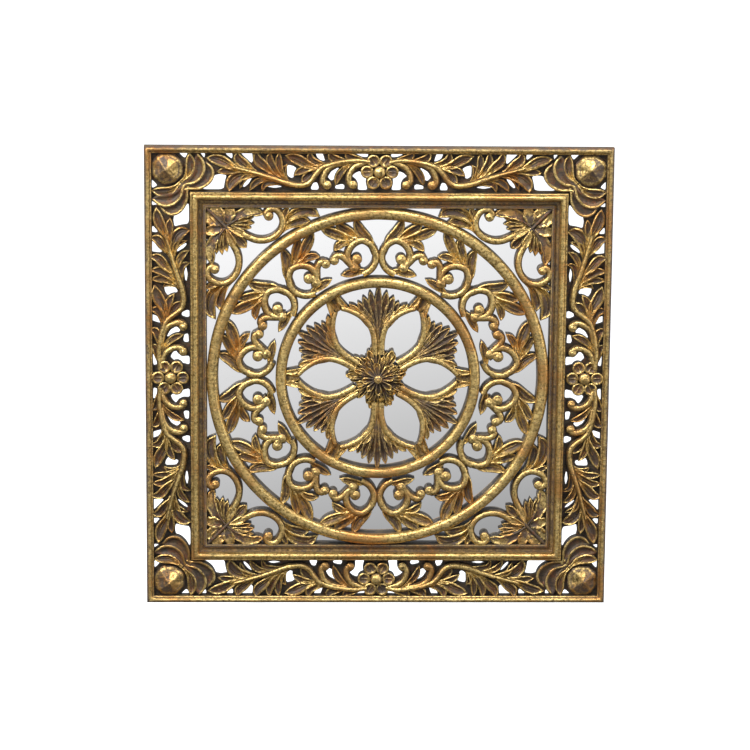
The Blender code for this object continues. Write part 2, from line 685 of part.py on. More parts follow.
def triangulated(loops, lines, points):
    """Triangles that fill the material and keep the loops and lines as edges."""
    coords = []
    edges = []
    for loop in loops:
        first = len(coords)
        coords.extend(loop)
        edges.extend((first + k, first + (k + 1) % len(loop)) for k in range(len(loop)))
    loop_count = len(coords)
    for line in lines:
        first = len(coords)
        coords.extend(line)
        edges.extend((first + k, first + k + 1) for k in range(len(line) - 1))
    coords.extend(points)
    made = delaunay_2d_cdt([tuple(map(float, p)) for p in coords], edges, [], 0, 1e-7, True)
    places, _, faces, sources = made[:4]
    places = np.array([tuple(p) for p in places])
    of_loop = {}
    for index, origin in enumerate(sources):
        for source in origin:
            if source < loop_count:
                of_loop[source] = index
                places[index] = coords[source]
    places[abs(places) < 1e-7] = 0.0
    faces = np.array(faces)
    centres = places[faces].mean(axis=1)
    return places, faces[within(centres, loops)], of_loop


def clear_of(points, loops, relief, margin):
    """Which points lie in this quarter, in the material and off its edges, rails and rings."""
    good = (points[:, 0] < -margin) & (points[:, 1] > margin)
    square = np.max(abs(points), axis=1)
    good &= ((square < FIELD_HALF - margin) | (square > FRAME_OUTER + margin)) & (square < RIM_INNER - margin)
    radius = np.hypot(points[:, 0], points[:, 1])
    for outer, width in relief.rings:
        good &= (radius > outer + margin) | (radius < outer - width - margin)
    good[good] = within(points[good], loops)
    good[good] = off_loops(points[good], loops) > margin
    return good


def quarter_mesh(relief, loops):
    """The top-left quarter of the casting, open where it meets its mirror images."""
    lines = [corner_line(distance) for distance, _ in relief.frame[1:-1] + relief.rim[1:-1]]
    for outer, width in relief.rings:
        for side in (-1, 1):
            lines.append(quarter_arc(outer - width / 2 * (1 + side * RING_FACET), RING_SEGMENTS))
    taken = list(np.vstack(lines[-4:]))
    for line in relief.crests():
        kept = spread_out(line[clear_of(line, loops, relief, CREST_MARGIN)], taken, CREST_SPACING)
        taken.extend(kept)
        run = kept[:1]
        for a, b in zip(kept, kept[1:]):
            between = a + np.linspace(0, 1, 7)[:, None] * (b - a)
            if not clear_of(between, loops, relief, TOUCH).all():
                lines.append(run)
                run = []
            run.append(b)
        if run:
            lines.append(run)
    ridges = relief.ridges()
    ridges = ridges[clear_of(ridges, loops, relief, RIDGE_MARGIN)]
    ridges = spread_out(ridges, taken, RIDGE_SPACING)
    bare = relief.bare_ground()
    ridges += spread_out(bare, taken + ridges, GROUND_SPACING)

    mesh = bmesh.new()
    front, front_faces, front_of = triangulated(loops, lines, ridges)
    _, depths = relief.at(front)
    front_verts = [mesh.verts.new((x, -d, z)) for (x, z), d in zip(front, depths)]
    for a, b, c in front_faces:
        mesh.faces.new((front_verts[a], front_verts[b], front_verts[c]))

    recess = corner_line(RECESS_HALF)
    coarse = [coarser(loop, BACK_TOLERANCE) for loop in loops]
    back_loops = [loop[rows] for loop, rows in zip(loops, coarse)]
    back, back_faces, back_of = triangulated(back_loops, [recess], [])
    square = np.max(abs(back), axis=1)
    edge = abs(square - RECESS_HALF) < 1e-6
    wall_side = {}
    glass_side = {}
    for k, (x, z) in enumerate(back):
        if square[k] > RECESS_HALF - 1e-6:
            wall_side[k] = mesh.verts.new((x, 0.0, z))
        if square[k] < RECESS_HALF + 1e-6:
            glass_side[k] = mesh.verts.new((x, -RECESS_DEPTH, z))
    recess_edges = set()
    for face in back_faces:
        centre = np.max(abs(back[face].mean(axis=0)))
        side = wall_side if centre > RECESS_HALF else glass_side
        mesh.faces.new([side[k] for k in reversed(face)])
        if side is glass_side:
            for a, b in zip(face, np.roll(face, -1)):
                if edge[a] and edge[b]:
                    recess_edges.add((a, b))
    for a, b in recess_edges:
        mesh.faces.new((wall_side[a], wall_side[b], glass_side[b], glass_side[a]))

    first = 0
    back_first = 0
    for loop, rows in zip(loops, coarse):
        for n, row in enumerate(rows):
            after = rows[(n + 1) % len(rows)]
            if on_axis(loop[row], loop[(row + 1) % len(loop)]):
                continue
            low = [back_of[back_first + m] for m in (n, (n + 1) % len(rows))]
            low = [wall_side.get(m) or glass_side[m] for m in low]
            count = (after - row) % len(loop)
            high = [front_verts[front_of[first + (row + k) % len(loop)]] for k in range(count + 1)]
            turn = (count + 1) // 2
            for k in range(turn):
                mesh.faces.new((high[k + 1], high[k], low[0]))
            mesh.faces.new((high[turn], low[0], low[1]))
            for k in range(turn, count):
                mesh.faces.new((high[k + 1], high[k], low[1]))
        first += len(loop)
        back_first += len(rows)
    return mesh


def without_slits(field):
    """Close the gaps under two grid steps wide: widen the material by a step, then narrow it again."""
    padded = np.pad(field, 1, mode="edge")
    narrowed = field + GRID
    for i in (0, 1, 2):
        for j in (0, 1, 2):
            shifted = padded[i:i + field.shape[0], j:j + field.shape[1]]
            narrowed = np.minimum(narrowed, shifted + max(1, hypot(i - 1, j - 1)) * GRID)
    return narrowed


def casting_loops(relief):
    """The outline of the quarter and of every opening in it."""
    steps = int(np.ceil(HALF_SIDE / GRID))
    ticks = np.linspace(0, HALF_SIDE, steps + 1)
    xs = np.concatenate([[-HALF_SIDE - GRID], -ticks[::-1], [GRID]])
    zs = np.concatenate([[-GRID], ticks, [HALF_SIDE + GRID]])
    grid = np.stack(np.meshgrid(xs, zs, indexing="ij"), axis=-1)
    cover, _ = relief.at(grid.reshape(-1, 2))
    field = without_slits(cover.reshape(len(xs), len(zs))) + 1e-6
    field[[0, -1], :] = -1.0
    field[:, [0, -1]] = -1.0
    loops = outlines(field, xs, zs)
    loops = [loop for loop in loops if area(loop) > SMALLEST_OPENING_SIDE ** 2]
    return [simple_loop(loop, OUTLINE_TOLERANCE, AXIS_STEP) for loop in loops]


def material(name, colour, metallic, roughness):
    made = bpy.data.materials.new(name)
    made.use_nodes = True
    shader = made.node_tree.nodes["Principled BSDF"]
    shader.inputs["Base Color"].default_value = (*colour, 1.0)
    shader.inputs["Metallic"].default_value = metallic
    shader.inputs["Roughness"].default_value = roughness
    return made


def place(name, mesh, finish):
    data = bpy.data.meshes.new(name)
    bmesh.ops.recalc_face_normals(mesh, faces=mesh.faces)
    mesh.to_mesh(data)
    mesh.free()
    obj = bpy.data.objects.new(name, data)
    obj.location = (0, 0, -MOUNT_HEIGHT)
    data.materials.append(finish)
    bpy.context.scene.collection.objects.link(obj)
    return obj


def make_casting():
    relief = Relief()
    mesh = quarter_mesh(relief, casting_loops(relief))
    gilt = material("antique gilt resin", (0.50, 0.33, 0.11), 0.7, 0.42)
    casting = place("panel_casting", mesh, gilt)
    mirror = casting.modifiers.new("other three quarters", "MIRROR")
    mirror.use_axis = (True, False, True)
    mirror.use_mirror_merge = True
    mirror.merge_threshold = 1e-6
    casting.data.shade_smooth()
    casting.data.set_sharp_from_angle(angle=radians(20))
    return casting


def make_mirror():
    mesh = bmesh.new()
    bmesh.ops.create_cube(mesh, size=1.0)
    bmesh.ops.scale(mesh, vec=(2 * MIRROR_HALF, MIRROR_THICKNESS, 2 * MIRROR_HALF), verts=mesh.verts)
    middle = -(MIRROR_INSET + MIRROR_THICKNESS / 2)
    bmesh.ops.translate(mesh, vec=(0, middle, 0), verts=mesh.verts)
    return place("mirror_glass", mesh, material("silvered glass", (0.78, 0.79, 0.80), 1.0, 0.03))


clear_scene()
make_casting()
make_mirror()
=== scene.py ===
"""The looks of the resin wall art panel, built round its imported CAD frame.

The ornament is drawn in millimetres on the face of the panel, with its centre at 0, 0. Depths are
millimetres in front of the wall. The front faces -Y.
"""

from math import cos, pi, radians, sin

import bpy
import numpy as np
from mathutils import Matrix, Vector
from mathutils.geometry import delaunay_2d_cdt


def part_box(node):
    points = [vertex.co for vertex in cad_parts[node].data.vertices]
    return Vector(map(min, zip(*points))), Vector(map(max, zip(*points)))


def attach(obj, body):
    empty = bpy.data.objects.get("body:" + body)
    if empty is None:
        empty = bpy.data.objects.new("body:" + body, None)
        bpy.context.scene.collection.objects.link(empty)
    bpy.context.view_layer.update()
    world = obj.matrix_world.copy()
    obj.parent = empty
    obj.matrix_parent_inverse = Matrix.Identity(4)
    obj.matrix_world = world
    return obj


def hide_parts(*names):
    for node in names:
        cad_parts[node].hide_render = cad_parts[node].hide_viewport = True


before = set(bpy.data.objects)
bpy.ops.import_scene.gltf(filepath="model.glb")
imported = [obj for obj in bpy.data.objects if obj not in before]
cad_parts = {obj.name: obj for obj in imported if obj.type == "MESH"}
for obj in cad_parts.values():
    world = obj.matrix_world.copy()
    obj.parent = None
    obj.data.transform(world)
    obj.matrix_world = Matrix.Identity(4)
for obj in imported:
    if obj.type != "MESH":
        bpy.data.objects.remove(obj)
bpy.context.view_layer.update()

SEED = 11
RANDOM = np.random.default_rng(SEED)
MM_PER_METRE = 1000

# The relief keeps this far inside the casting's box
SIDE_MARGIN = 0.02
FRONT_MARGIN = 0.15
WALL_MARGIN = 0.05

casting_low, casting_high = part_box("panel_casting")
CENTRE_X = (casting_low[0] + casting_high[0]) / 2
CENTRE_Z = (casting_low[2] + casting_high[2]) / 2
HALF_SIDE = (casting_high[0] - casting_low[0]) / 2 * MM_PER_METRE
TOP_DEPTH = -casting_low[1] * MM_PER_METRE - FRONT_MARGIN

# Distances from the centre of the panel, widths and laps
RIM_INNER = 368.0
FRAME_OUTER = 306.0
FIELD_HALF = 280.0
GROUND_UNDER_RIM = 0.6
GROUND_UNDER_FRAME = 0.2
BIG_RING_OUTER = 280.0
BIG_RING_WIDTH = 18.5
INNER_RING_OUTER = 167.5
INNER_RING_WIDTH = 17.5

# Depths in front of the wall
WALL_BACK = 0.4
FIELD_BACK = 4.45
GROUND = 8.6
SPRAY_GROUND_DEPTH = 11.0
LEAF_BASE = 17.0
SEPAL_BASE = 20.0
SEPAL_SLOPE = 0.25
WEDGE_BASE = 15.5
FROND_BASE = 17.6
SHADE_BASE = 15.8
OVAL_BASE = 18.6
FAN_LEAF_BASE = 17.0
FAN_LEAF_STEP = 0.6
STEM_TOP = 21.5
VINE_TOP = 22.5
SHADE_VEIN_TOP = 19.6
CURL_TOP = 21.0
CURL_BEAD_FOOT = 16.5
CURL_BEAD_TOP = 22.2
BAND_TOP = 21.5
RING_TOP = 26.2
RING_FOOT = 17.0
BUD_TOP = 29.2
PETAL_DEPTH = 19.0
FLOWER_BUTTON_TOP = 27.2
ROSETTE_BUTTON_FOOT = 27.0

# Small random differences: backs end apart, so that no two lie in one plane
BACK_SPREAD = 0.3
LEAF_SIZE_RANGE = (0.95, 1.06)
LEAF_DEPTH_SPREAD = 0.6
ROSETTE_TURN_SPREAD = 4
ROSETTE_REACH_RANGE = (0.94, 1.04)
RAIL_UNEVEN = 0.10
RING_UNEVEN = 0.12
RIM_SEED = 1
FRAME_SEED = 3
BIG_RING_SEED = 5
INNER_RING_SEED = 7

# How much gold a point keeps: 1 is well gilded, and below 0 is dark; dark wash in the hollows, and painted
# shade on walls, backs and the ground plates
# Painted shade: walls are coloured dark and backs darker, as the shade under and between the pieces
WALL_PAINTED_SHADE = -0.35
BACK_PAINTED_SHADE = -0.6
# Painted shade: the ground plates are coloured dark, as the shade behind the leaves
PLATE_PAINTED_SHADE = -0.10
LEAST_GOLD = -0.3
SPRAY_GOLD = 0.12
SCROLL_GOLD = 0.18

# How far below a piece's edge its walls turn dark with painted shade
EDGE_DARK = 1.1

# Edges sharper than these many degrees stay sharp
CARVED_ANGLE = 40
MOULDED_ANGLE = 50
BUD_ANGLE = 60

BIG_RING_STEPS = 360
INNER_RING_STEPS = 260
SIDE_STEPS = 84

# Columns of a carved strip, from one edge (-1) to the other (1)
ACROSS_HALF = (0.0, 0.12, 0.34, 0.54, 0.68, 0.80, 0.90, 0.965, 1.0)
ACROSS = np.array([-u for u in reversed(ACROSS_HALF[1:])] + list(ACROSS_HALF))


# Drawn ornament, at the top left of each mirror line

# A curl's stem and its bead, as shares of the drawn half width
CURL_STEM_SHARE = 1.12
CURL_BEAD_SHARE = 1.48
CORNER_BUD_CENTRE = (-342.6, 342.6)
CORNER_BUD_RADIUS = 25.4
CORNER_LEAVES = [
    ("sepal", 10.5, [(-315, 311), (-293, 317), (-277, 333), (-280, 355)]),
    ("sepal", 9.5, [(-318, 317), (-300, 326), (-291, 343), (-294, 368)]),
    ("leaf", 7.5, [(-320, 321), (-309, 334), (-305, 349), (-307, 369)]),
]
VINE = [
    ("leaf", 8.5, [(-222, 341), (-240, 348), (-258, 357), (-280, 361)]),
    ("leaf", 6.0, [(-222, 338), (-243, 340), (-263, 338)]),
    ("leaf", 9.5, [(-198, 335), (-226, 331), (-239, 321), (-243, 305)]),
    ("leaf", 4.5, [(-190, 334), (-208, 332), (-219.5, 327), (-226, 310)]),
    ("leaf", 5.2, [(-172, 327), (-191, 325), (-203, 318), (-210, 307)]),
    ("leaf", 4.5, [(-152, 319), (-172, 320.5), (-185, 318), (-190, 305)]),
    ("leaf", 7.5, [(-200, 338), (-217, 350), (-228, 359), (-230, 372)]),
    ("leaf", 7.5, [(-168, 330), (-184, 346), (-197, 358), (-199, 373)]),
    ("leaf", 6.5, [(-154, 324), (-169, 341), (-177, 355), (-177, 372)]),
    ("leaf", 5.5, [(-150, 324), (-161, 343), (-163, 356), (-162, 371)]),
    ("leaf", 4.5, [(-144, 320), (-153, 330), (-155, 342), (-149, 351)]),
    ("leaf", 8.5, [(-95, 346), (-116, 350), (-134, 359), (-153, 365)]),
    ("leaf", 6.0, [(-96, 344), (-116, 343.5), (-129, 339), (-139, 332)]),
    ("leaf", 7.5, [(-90, 343), (-106, 338), (-117, 330), (-127, 321)]),
    ("leaf", 6.5, [(-82, 351), (-100, 352.5), (-111, 359), (-113, 373)]),
    ("leaf", 6.5, [(-50, 356), (-70, 359), (-78, 364), (-80, 373)]),
    ("leaf", 6.0, [(-22, 358), (-42, 361), (-51, 365), (-54, 373)]),
    ("leaf", 5.5, [(-42, 355), (-58, 343), (-67, 331), (-71.5, 316)]),
    ("curl", 5.2, [(-50, 355), (-72, 351), (-84, 343.5), (-90, 333), (-91.5, 323), (-88.5, 317.5),
                   (-85, 317.5)]),
    ("curl", 5.0, [(-20, 355), (-39, 348), (-47.5, 338), (-50, 327), (-47.5, 319.5), (-43, 318)]),
    ("vine", 6.6, [(-236, 346), (-215, 340.5), (-195, 335), (-170, 327), (-150, 320), (-132, 316.8),
                   (-120, 318), (-111, 324), (-103, 335), (-93, 345.5), (-76, 352), (-55, 356), (-35, 357.5),
                   (-16, 355)]),
]
# Right through the border's dark ground; the leaves stand round them
BORDER_OPENINGS = [
    [(-325, 368), (-309, 368), (-314.5, 358)],
    [(-290, 368), (-281.5, 368), (-283, 358.5)],
    [(-288, 308), (-276, 318), (-266, 332), (-258, 333.5), (-247, 332), (-250, 322), (-252, 308)],
    [(-249, 366), (-246, 368.5), (-238, 368.5), (-237.5, 361), (-239.5, 358)],
    [(-225, 368), (-221, 370), (-206, 370), (-204.5, 355), (-207, 351), (-215, 358)],
    [(-221, 312.5), (-218, 312), (-212, 317), (-206, 327), (-207, 329), (-213, 325), (-219, 318)],
    [(-183, 313), (-172, 316.5), (-159, 314.5), (-157.5, 312.5), (-170, 310.5)],
    [(-149.5, 347), (-147, 349), (-140, 347.5), (-134, 343.5), (-138, 337), (-139, 328), (-143, 327),
     (-149, 331)],
    [(-111, 312), (-107, 320), (-101, 321), (-98, 313), (-99, 308), (-110, 308)],
    [(-104, 370), (-94, 371), (-91, 365), (-88, 355), (-95, 355.5), (-101, 361)],
    [(-84, 329), (-78, 339), (-67, 345), (-65.5, 343.5), (-70, 333), (-73.5, 325), (-78, 323)],
    [(-72, 310), (-71, 316), (-60, 318.5), (-56.5, 316), (-57, 309)],
    [(-45, 331), (-39, 336.5), (-32, 339.5), (-27, 334), (-21, 329.5), (-22.5, 321), (-19, 308), (-35, 308),
     (-34.5, 319), (-38, 326)],
    [(-38, 368.5), (-18, 367.5), (-19.5, 361), (-36, 363)],
]
FLOWER_CENTRE = (0, 339)
FLOWER_PETALS = 6
PETAL_REACH = 20.3
PETAL_RADIUS = 10.4
FLOWER_BUTTON_RADIUS = 9.8
CORNER_SPRAY = [
    ("frond", 13.4, [(-252, 252), (-261, 265), (-267, 285)]),
    ("frond", 10.4, [(-247, 253), (-244, 267), (-240, 284)]),
    ("shade", 4.6, [(-243, 251), (-224, 250), (-207, 246)]),
    ("shade", 4.8, [(-243, 252), (-222, 256), (-202, 254)]),
    ("shade", 4.6, [(-242, 253), (-222, 261), (-203, 264)]),
    ("frond", 9.8, [(-243, 255), (-229, 267), (-209, 274), (-187, 270)]),
    ("oval", 6.3, [(-246, 247), (-231, 242), (-213, 233)]),
    ("vein", 2.1, [(-247, 250), (-232, 260), (-214, 267), (-192, 271)]),
    ("curl", 5.2, [(-222, 238), (-210, 231.5), (-198, 227.5), (-184, 227.5), (-170, 233), (-159.5, 243.5),
                   (-156, 257), (-160, 270), (-168, 277.5), (-178, 277.5), (-183.5, 270.5), (-179, 266.5)]),
    ("leaf", 4.8, [(-155, 252), (-153.5, 267), (-147, 283)]),
    ("leaf", 9.8, [(-158, 246), (-148, 262), (-131, 273), (-113, 275), (-96, 265)]),
    ("leaf", 8.3, [(-158, 241), (-143, 254), (-127, 259), (-111, 258)]),
]
# A rounded stem down the spray's middle, coloured dark as the painted shade of the crease there
CORNER_SHADE_VEIN = ("vein", 4.6, [(-280, 280), (-262, 262), (-246, 246), (-232, 232)])
CORNER_END = ("shade", 7.5, [(-236, 236), (-226, 226), (-214.5, 214.5)])
SPRAY_GROUND = [(-281, 281), (-228, 281), (-225, 268), (-212, 262), (-213, 248), (-224, 236), (-226, 226),
                (-236, 224), (-248, 213), (-262, 212), (-268, 225), (-281, 228)]
SCROLL_COPIES = 8
SCROLL = [
    ("leaf", 6.2, [(-14, 176), (-30, 176.5), (-46, 173.5), (-62, 169)]),
    ("leaf", 6.2, [(-40, 224), (-56, 223), (-66, 218), (-74, 209)]),
    ("leaf", 8.5, [(-34, 228), (-55, 232), (-76, 239), (-97, 248)]),
    ("leaf", 7.0, [(-28, 228), (-45, 239), (-60, 247), (-72, 257)]),
    ("leaf", 8.2, [(-8, 208), (-15, 226), (-31, 243), (-40, 264)]),
    ("curl", 5.6, [(-6, 206), (-13, 220), (-26, 227.5), (-38, 224), (-47, 215), (-51, 203), (-48, 191),
                   (-40, 183)]),
    ("curl", 5.3, [(-38, 182), (-48, 190), (-57, 199), (-65, 202.5), (-71.5, 200.5), (-72.5, 194.5)]),
    ("curl", 6.0, [(-34, 180), (-39.5, 187), (-40.5, 194), (-36, 196.5)]),
    ("stem", 5.9, [(-26, 172), (-14, 179), (-6.5, 190), (-4.8, 202), (-8, 214)]),
]
PETAL_LOOPS = 6
PETAL_BAND = [
    ("wedge", 9.0, [(-64, 110.8), (-70, 121.2), (-77, 133.4)]),
    ("oval", 4.2, [(-43, 111), (-54, 119), (-62.5, 127), (-69, 139)]),
    ("oval", 5.2, [(-22, 101), (-33, 110), (-40, 116), (-48, 123)]),
    ("oval", 5.2, [(-7, 82), (-11, 94), (-18, 103), (-27, 111)]),
    ("band", 6.0, [(-4.8, 40), (-5, 60), (-7.8, 76), (-13.5, 89), (-23, 99.5), (-35, 107.5), (-49, 113.5),
                   (-60, 116)]),
]
FAN_BASE = (0, 68)
# Degrees off the fan's axis, length, half width; the outermost lie lowest
FAN_LEAFLETS = [(38, 64, 7.0), (30, 67, 7.6), (20.5, 71.5, 8.2), (10.5, 76.5, 8.2), (0, 84, 7.6)]
ROSETTE_TIERS = [
    # leaves, fingers to a leaf, start radius, tip radius, half width, root depth, tip depth, turn in degrees
    (9, 3, 12, 53, 9.3, 21.0, 16.5, 8),
    (9, 3, 12, 40, 6.7, 24.0, 20.5, 28),
    (8, 1, 5, 27.5, 6.0, 27.5, 23.5, 5),
]
ROSETTE_BUTTON_RADIUS = 7.4


# Lines

def turned(points, degrees):
    c, s = cos(radians(degrees)), sin(radians(degrees))
    p = np.asarray(points, float)
    return np.stack([p[:, 0] * c - p[:, 1] * s, p[:, 0] * s + p[:, 1] * c], axis=1)


def flipped(points):
    return np.asarray(points, float) * (-1, 1)


def across_diagonal(points):
    p = np.asarray(points, float)
    return np.stack([-p[:, 1], -p[:, 0]], axis=1)


def smooth_line(points, steps=10):
    """A smooth line through the points (Catmull-Rom)."""
    p = np.asarray(points, float)
    p = np.vstack([2 * p[0] - p[1], p, 2 * p[-1] - p[-2]])
    line = []
    for a, b, c, d in zip(p[:-3], p[1:-2], p[2:-1], p[3:]):
        for k in range(steps):
            t = k / steps
            bend = (2 * a - 5 * b + 4 * c - d) * t * t + (3 * b - a - 3 * c + d) * t ** 3
            line.append(0.5 * (2 * b + (c - a) * t + bend))
    line.append(p[-2])
    return np.array(line)


def evenly(line, count):
    """The line again with so many points, equally far apart, and its length."""
    run = np.concatenate([[0], np.cumsum(np.hypot(*np.diff(line, axis=0).T))])
    at = np.linspace(0, run[-1], count)
    return np.stack([np.interp(at, run, line[:, k]) for k in (0, 1)], axis=1), run[-1]


def spaced(points, spacing, draft, fewest, most):
    """A smooth line through the points, with a point at about each spacing."""
    line, length = evenly(smooth_line(points), draft)
    rows = int(np.clip(round(length / spacing), fewest, most))
    return evenly(line, rows)[0]


def sideways(line):
    """A unit vector to the left of the line at each of its points."""
    along = np.gradient(line, axis=0)
    along /= np.maximum(np.hypot(*along.T), 1e-9)[:, None]
    return np.stack([-along[:, 1], along[:, 0]], axis=1)


def bend_side(line):
    """1 or -1, for the side to which the line bends."""
    return np.sign(np.cross(line[-1] - line[0], line[len(line) // 2] - line[0])) or 1.0


def strip(line, half_width, depth):
    """The points of a carved strip: a row across the line at each of its points."""
    place = line[:, None, :] + sideways(line)[:, None, :] * (half_width * ACROSS)[..., None]
    return np.stack([place[..., 0], -depth, place[..., 1]], axis=-1)


# Meshes

class Carving:
    """Gathers carved strips and domes into one mesh, with how much gold each point carries, painted shade and
    painted highlights included.
    """

    def __init__(self):
        self.points = []
        self.faces = []
        self.gild_and_painted_light = []
        self.count = 0

    def add(self, points, gild_and_painted_light):
        """Take in more points and give the number of the first."""
        first = self.count
        self.points.append(points)
        self.gild_and_painted_light.append(gild_and_painted_light)
        self.count += len(points)
        return first

    def add_grid(self, face, gild_and_painted_light, back):
        """A carved face of rows and columns, with dark walls down to a flat back."""
        rows, columns = face.shape[:2]
        first = self.add(face.reshape(-1, 3), gild_and_painted_light.reshape(-1))
        index = first + np.arange(rows * columns).reshape(rows, columns)
        self.faces.append(quads(index))
        edge = np.concatenate([index[0, :], index[1:, -1], index[-1, -2::-1], index[-2:0:-1, 0]])[::-1]
        rim = np.concatenate([face[0, :], face[1:, -1], face[-1, -2::-1], face[-2:0:-1, 0]])[::-1]
        self.add_walls(edge, rim, back)

    def add_walls(self, edge, rim, back):
        """Walls from the edge of a face down to a flat back, dark with painted shade from just below the
        edge.
        """
        low = rim.copy()
        low[:, 1] = np.minimum(rim[:, 1] + EDGE_DARK, -back)
        foot = rim.copy()
        foot[:, 1] = -back
        # Painted shade on the walls from just below the edge, darker still on the backs
        dark = self.add(low, np.full(len(low), WALL_PAINTED_SHADE))
        base = self.add(foot, np.full(len(foot), BACK_PAINTED_SHADE))
        steps = np.arange(len(edge))
        after = np.roll(steps, -1)
        for upper, lower in ((edge, dark + steps), (dark + steps, base + steps)):
            self.faces.append(np.stack([upper, lower, lower[after], upper[after]], axis=1))
        self.faces.append([base + steps[::-1]])

    def make(self, name, finish, smooth_angle=CARVED_ANGLE):
        points = np.vstack(self.points)
        reach = HALF_SIDE - SIDE_MARGIN
        points[:, 1] = np.clip(points[:, 1], -TOP_DEPTH, -WALL_MARGIN)
        points[:, [0, 2]] = np.clip(points[:, [0, 2]], -reach, reach)
        points = points / MM_PER_METRE + (CENTRE_X, 0, CENTRE_Z)
        faces = [[int(n) for n in face] for group in self.faces for face in group]
        data = bpy.data.meshes.new(name)
        data.from_pydata([tuple(p) for p in points], [], faces)
        layer = data.attributes.new("gild_and_painted_light", "FLOAT", "POINT")
        layer.data.foreach_set("value", np.concatenate(self.gild_and_painted_light).astype(np.float32))
        data.materials.append(finish)
        data.shade_smooth()
        data.set_sharp_from_angle(angle=radians(smooth_angle))
        data.update()
        piece = bpy.data.objects.new(name, data)
        bpy.context.scene.collection.objects.link(piece)
        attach(piece, "root")
        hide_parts("panel_casting")


def quads(index):
    return np.stack([index[:-1, :-1], index[:-1, 1:], index[1:, 1:], index[1:, :-1]], axis=-1).reshape(-1, 4)


def bump(x, width):
    """A smooth hump, 1 where x is 0."""
    return np.exp(-(x / width) ** 2)


def behind(back):
    """The depth of a back, with its small random difference."""
    return back + RANDOM.uniform(0, BACK_SPREAD)


def leaf_width(t):
    """Fullest past the middle, with a blunt tip."""
    return np.maximum(1.04 * np.sin(pi * t ** 1.4) ** 0.6, 0.42 * (1 - t)) * (1 - t ** 16) + 0.02


def wedge_width(t):
    return 0.55 + 0.45 * t


def frond_width(t):
    """Broad, with scallops along each edge."""
    return np.sin(pi * np.clip(t, 0.06, 0.985) ** 1.1) ** 0.55 * (0.84 + 0.16 * abs(np.sin(3 * pi * t - 0.5)))


def add_leaf(carving, half, points, back, base=LEAF_BASE, tip_drop=2.5, root_drop=2.0, width=leaf_width,
             gold=0.0, spacing=2.4, lean=0.16, ribbed=True, root_gold=0.6, tip_gold=0.0,
             rim_gold=0.85, rim_size=1.0, one_rim=False, fullness=0.0, scallops=0):
    """A gouged leaf: a bright bead along its edges, a darker hollow and sometimes a midrib."""
    line = spaced(points, spacing, draft=60, fewest=8, most=60)
    t = np.linspace(0, 1, len(line))[:, None]
    u = ACROSS[None, :]
    half = half * RANDOM.uniform(*LEAF_SIZE_RANGE)
    base = base + RANDOM.uniform(-LEAF_DEPTH_SPREAD, LEAF_DEPTH_SPREAD)
    h = np.maximum(half * width(t), 0.25)
    bend = bend_side(line)

    off_edge = h * (1 - abs(u))
    rim_at = (0.5 + 0.12 * half) * rim_size
    rim = bump(off_edge - rim_at, (0.55 + 0.10 * half) * rim_size) * np.clip(h / 2.6, 0, 1)
    if one_rim:
        rim = rim * np.clip(0.4 + 2.5 * u * bend, 0, 1)
    hollow = np.clip((off_edge - rim_at - 0.4) / np.maximum(0.55 * h, 0.8), 0, 1)
    hollow = hollow * hollow * (3 - 2 * hollow)
    deep = np.minimum(0.52 * h + 0.5, 4.4) * np.clip(np.sin(pi * np.clip(t, 0.04, 0.97)) * 1.6, 0, 1)
    deep = deep * (1 - 1.5 * fullness)
    rib = bump(h * u - 0.12 * h * bend, 0.85) * np.clip(1.2 - t, 0, 1) * (ribbed and half > 4.6)
    groove = bump(np.sin(scallops * pi * (t - 0.22 * abs(u)) - 0.5), 0.34) * abs(u) * (scallops > 0)

    depth = base - root_drop * (1 - np.clip(t / 0.3, 0, 1)) ** 1.5
    depth = depth - tip_drop * np.clip((t - 0.55) / 0.45, 0, 1) ** 2
    depth = depth + 1.6 * rim - deep * hollow + rib * (0.6 * abs(deep) + 0.3) - bend * lean * u * h
    depth = depth - 1.5 * groove
    warm = root_gold * np.clip(1 - t / 0.55, 0, 1) + tip_gold * np.clip((t - 0.6) / 0.3, 0, 1)
    gild_and_painted_light = 0.10 + gold + warm + rim_gold * rim + 0.5 * rib + 0.10 * (1 - hollow) - 0.6 * groove
    carving.add_grid(strip(line, h, depth), np.clip(gild_and_painted_light, LEAST_GOLD, 1), behind(back))


def add_stem(carving, half, points, back, top=STEM_TOP, taper=0.0, spacing=2.4, root_drop=0.0,
             tip_drop=0.0, gold=0.0, thin_root=0.0):
    """A round stem with a thin fillet along each side."""
    line = spaced(points, spacing, draft=120, fewest=6, most=110)
    t = np.linspace(0, 1, len(line))[:, None]
    u = ACROSS[None, :]
    h = half * (1 - taper * t) * (1 - thin_root * (1 - np.clip(t / 0.4, 0, 1)))
    ridge = np.sqrt(np.clip(1 - (u / 0.8) ** 2, 0, 1))
    fillet = bump((abs(u) - 0.9) * h, 0.45)
    low = 0.55 * half + 1.2
    depth = top - low + low * ridge * 0.97 + fillet * 1.1 - 15 * np.clip(abs(u) - 0.93, 0, 1)
    depth = depth - root_drop * (1 - np.clip(t / 0.2, 0, 1)) - tip_drop * np.clip((t - 0.6) / 0.4, 0, 1) ** 2
    gild_and_painted_light = np.clip(0.1 + gold + 0.95 * ridge ** 1.2 + 0.4 * fillet, -0.2, 1) + 0 * h
    carving.add_grid(strip(line, h, depth), gild_and_painted_light, behind(back))


def add_curl(carving, half, points, back):
    """A stem that rolls up into a large bead."""
    add_stem(carving, half * CURL_STEM_SHARE, points, top=CURL_TOP, back=back, spacing=2.0, root_drop=1.5)
    add_dome(carving, points[-1], half * CURL_BEAD_SHARE, CURL_BEAD_FOOT, CURL_BEAD_TOP, back,
             turns=26, rings=9, groove=0.5)


def add_shade_vein(carving, half, points, back):
    """A rounded stem thinning to its tip, coloured dark as the painted shade of a crease."""
    add_stem(carving, half, points, top=SHADE_VEIN_TOP, back=back, taper=0.45, spacing=2.0, root_drop=1.5,
             tip_drop=2.0, gold=-0.90)


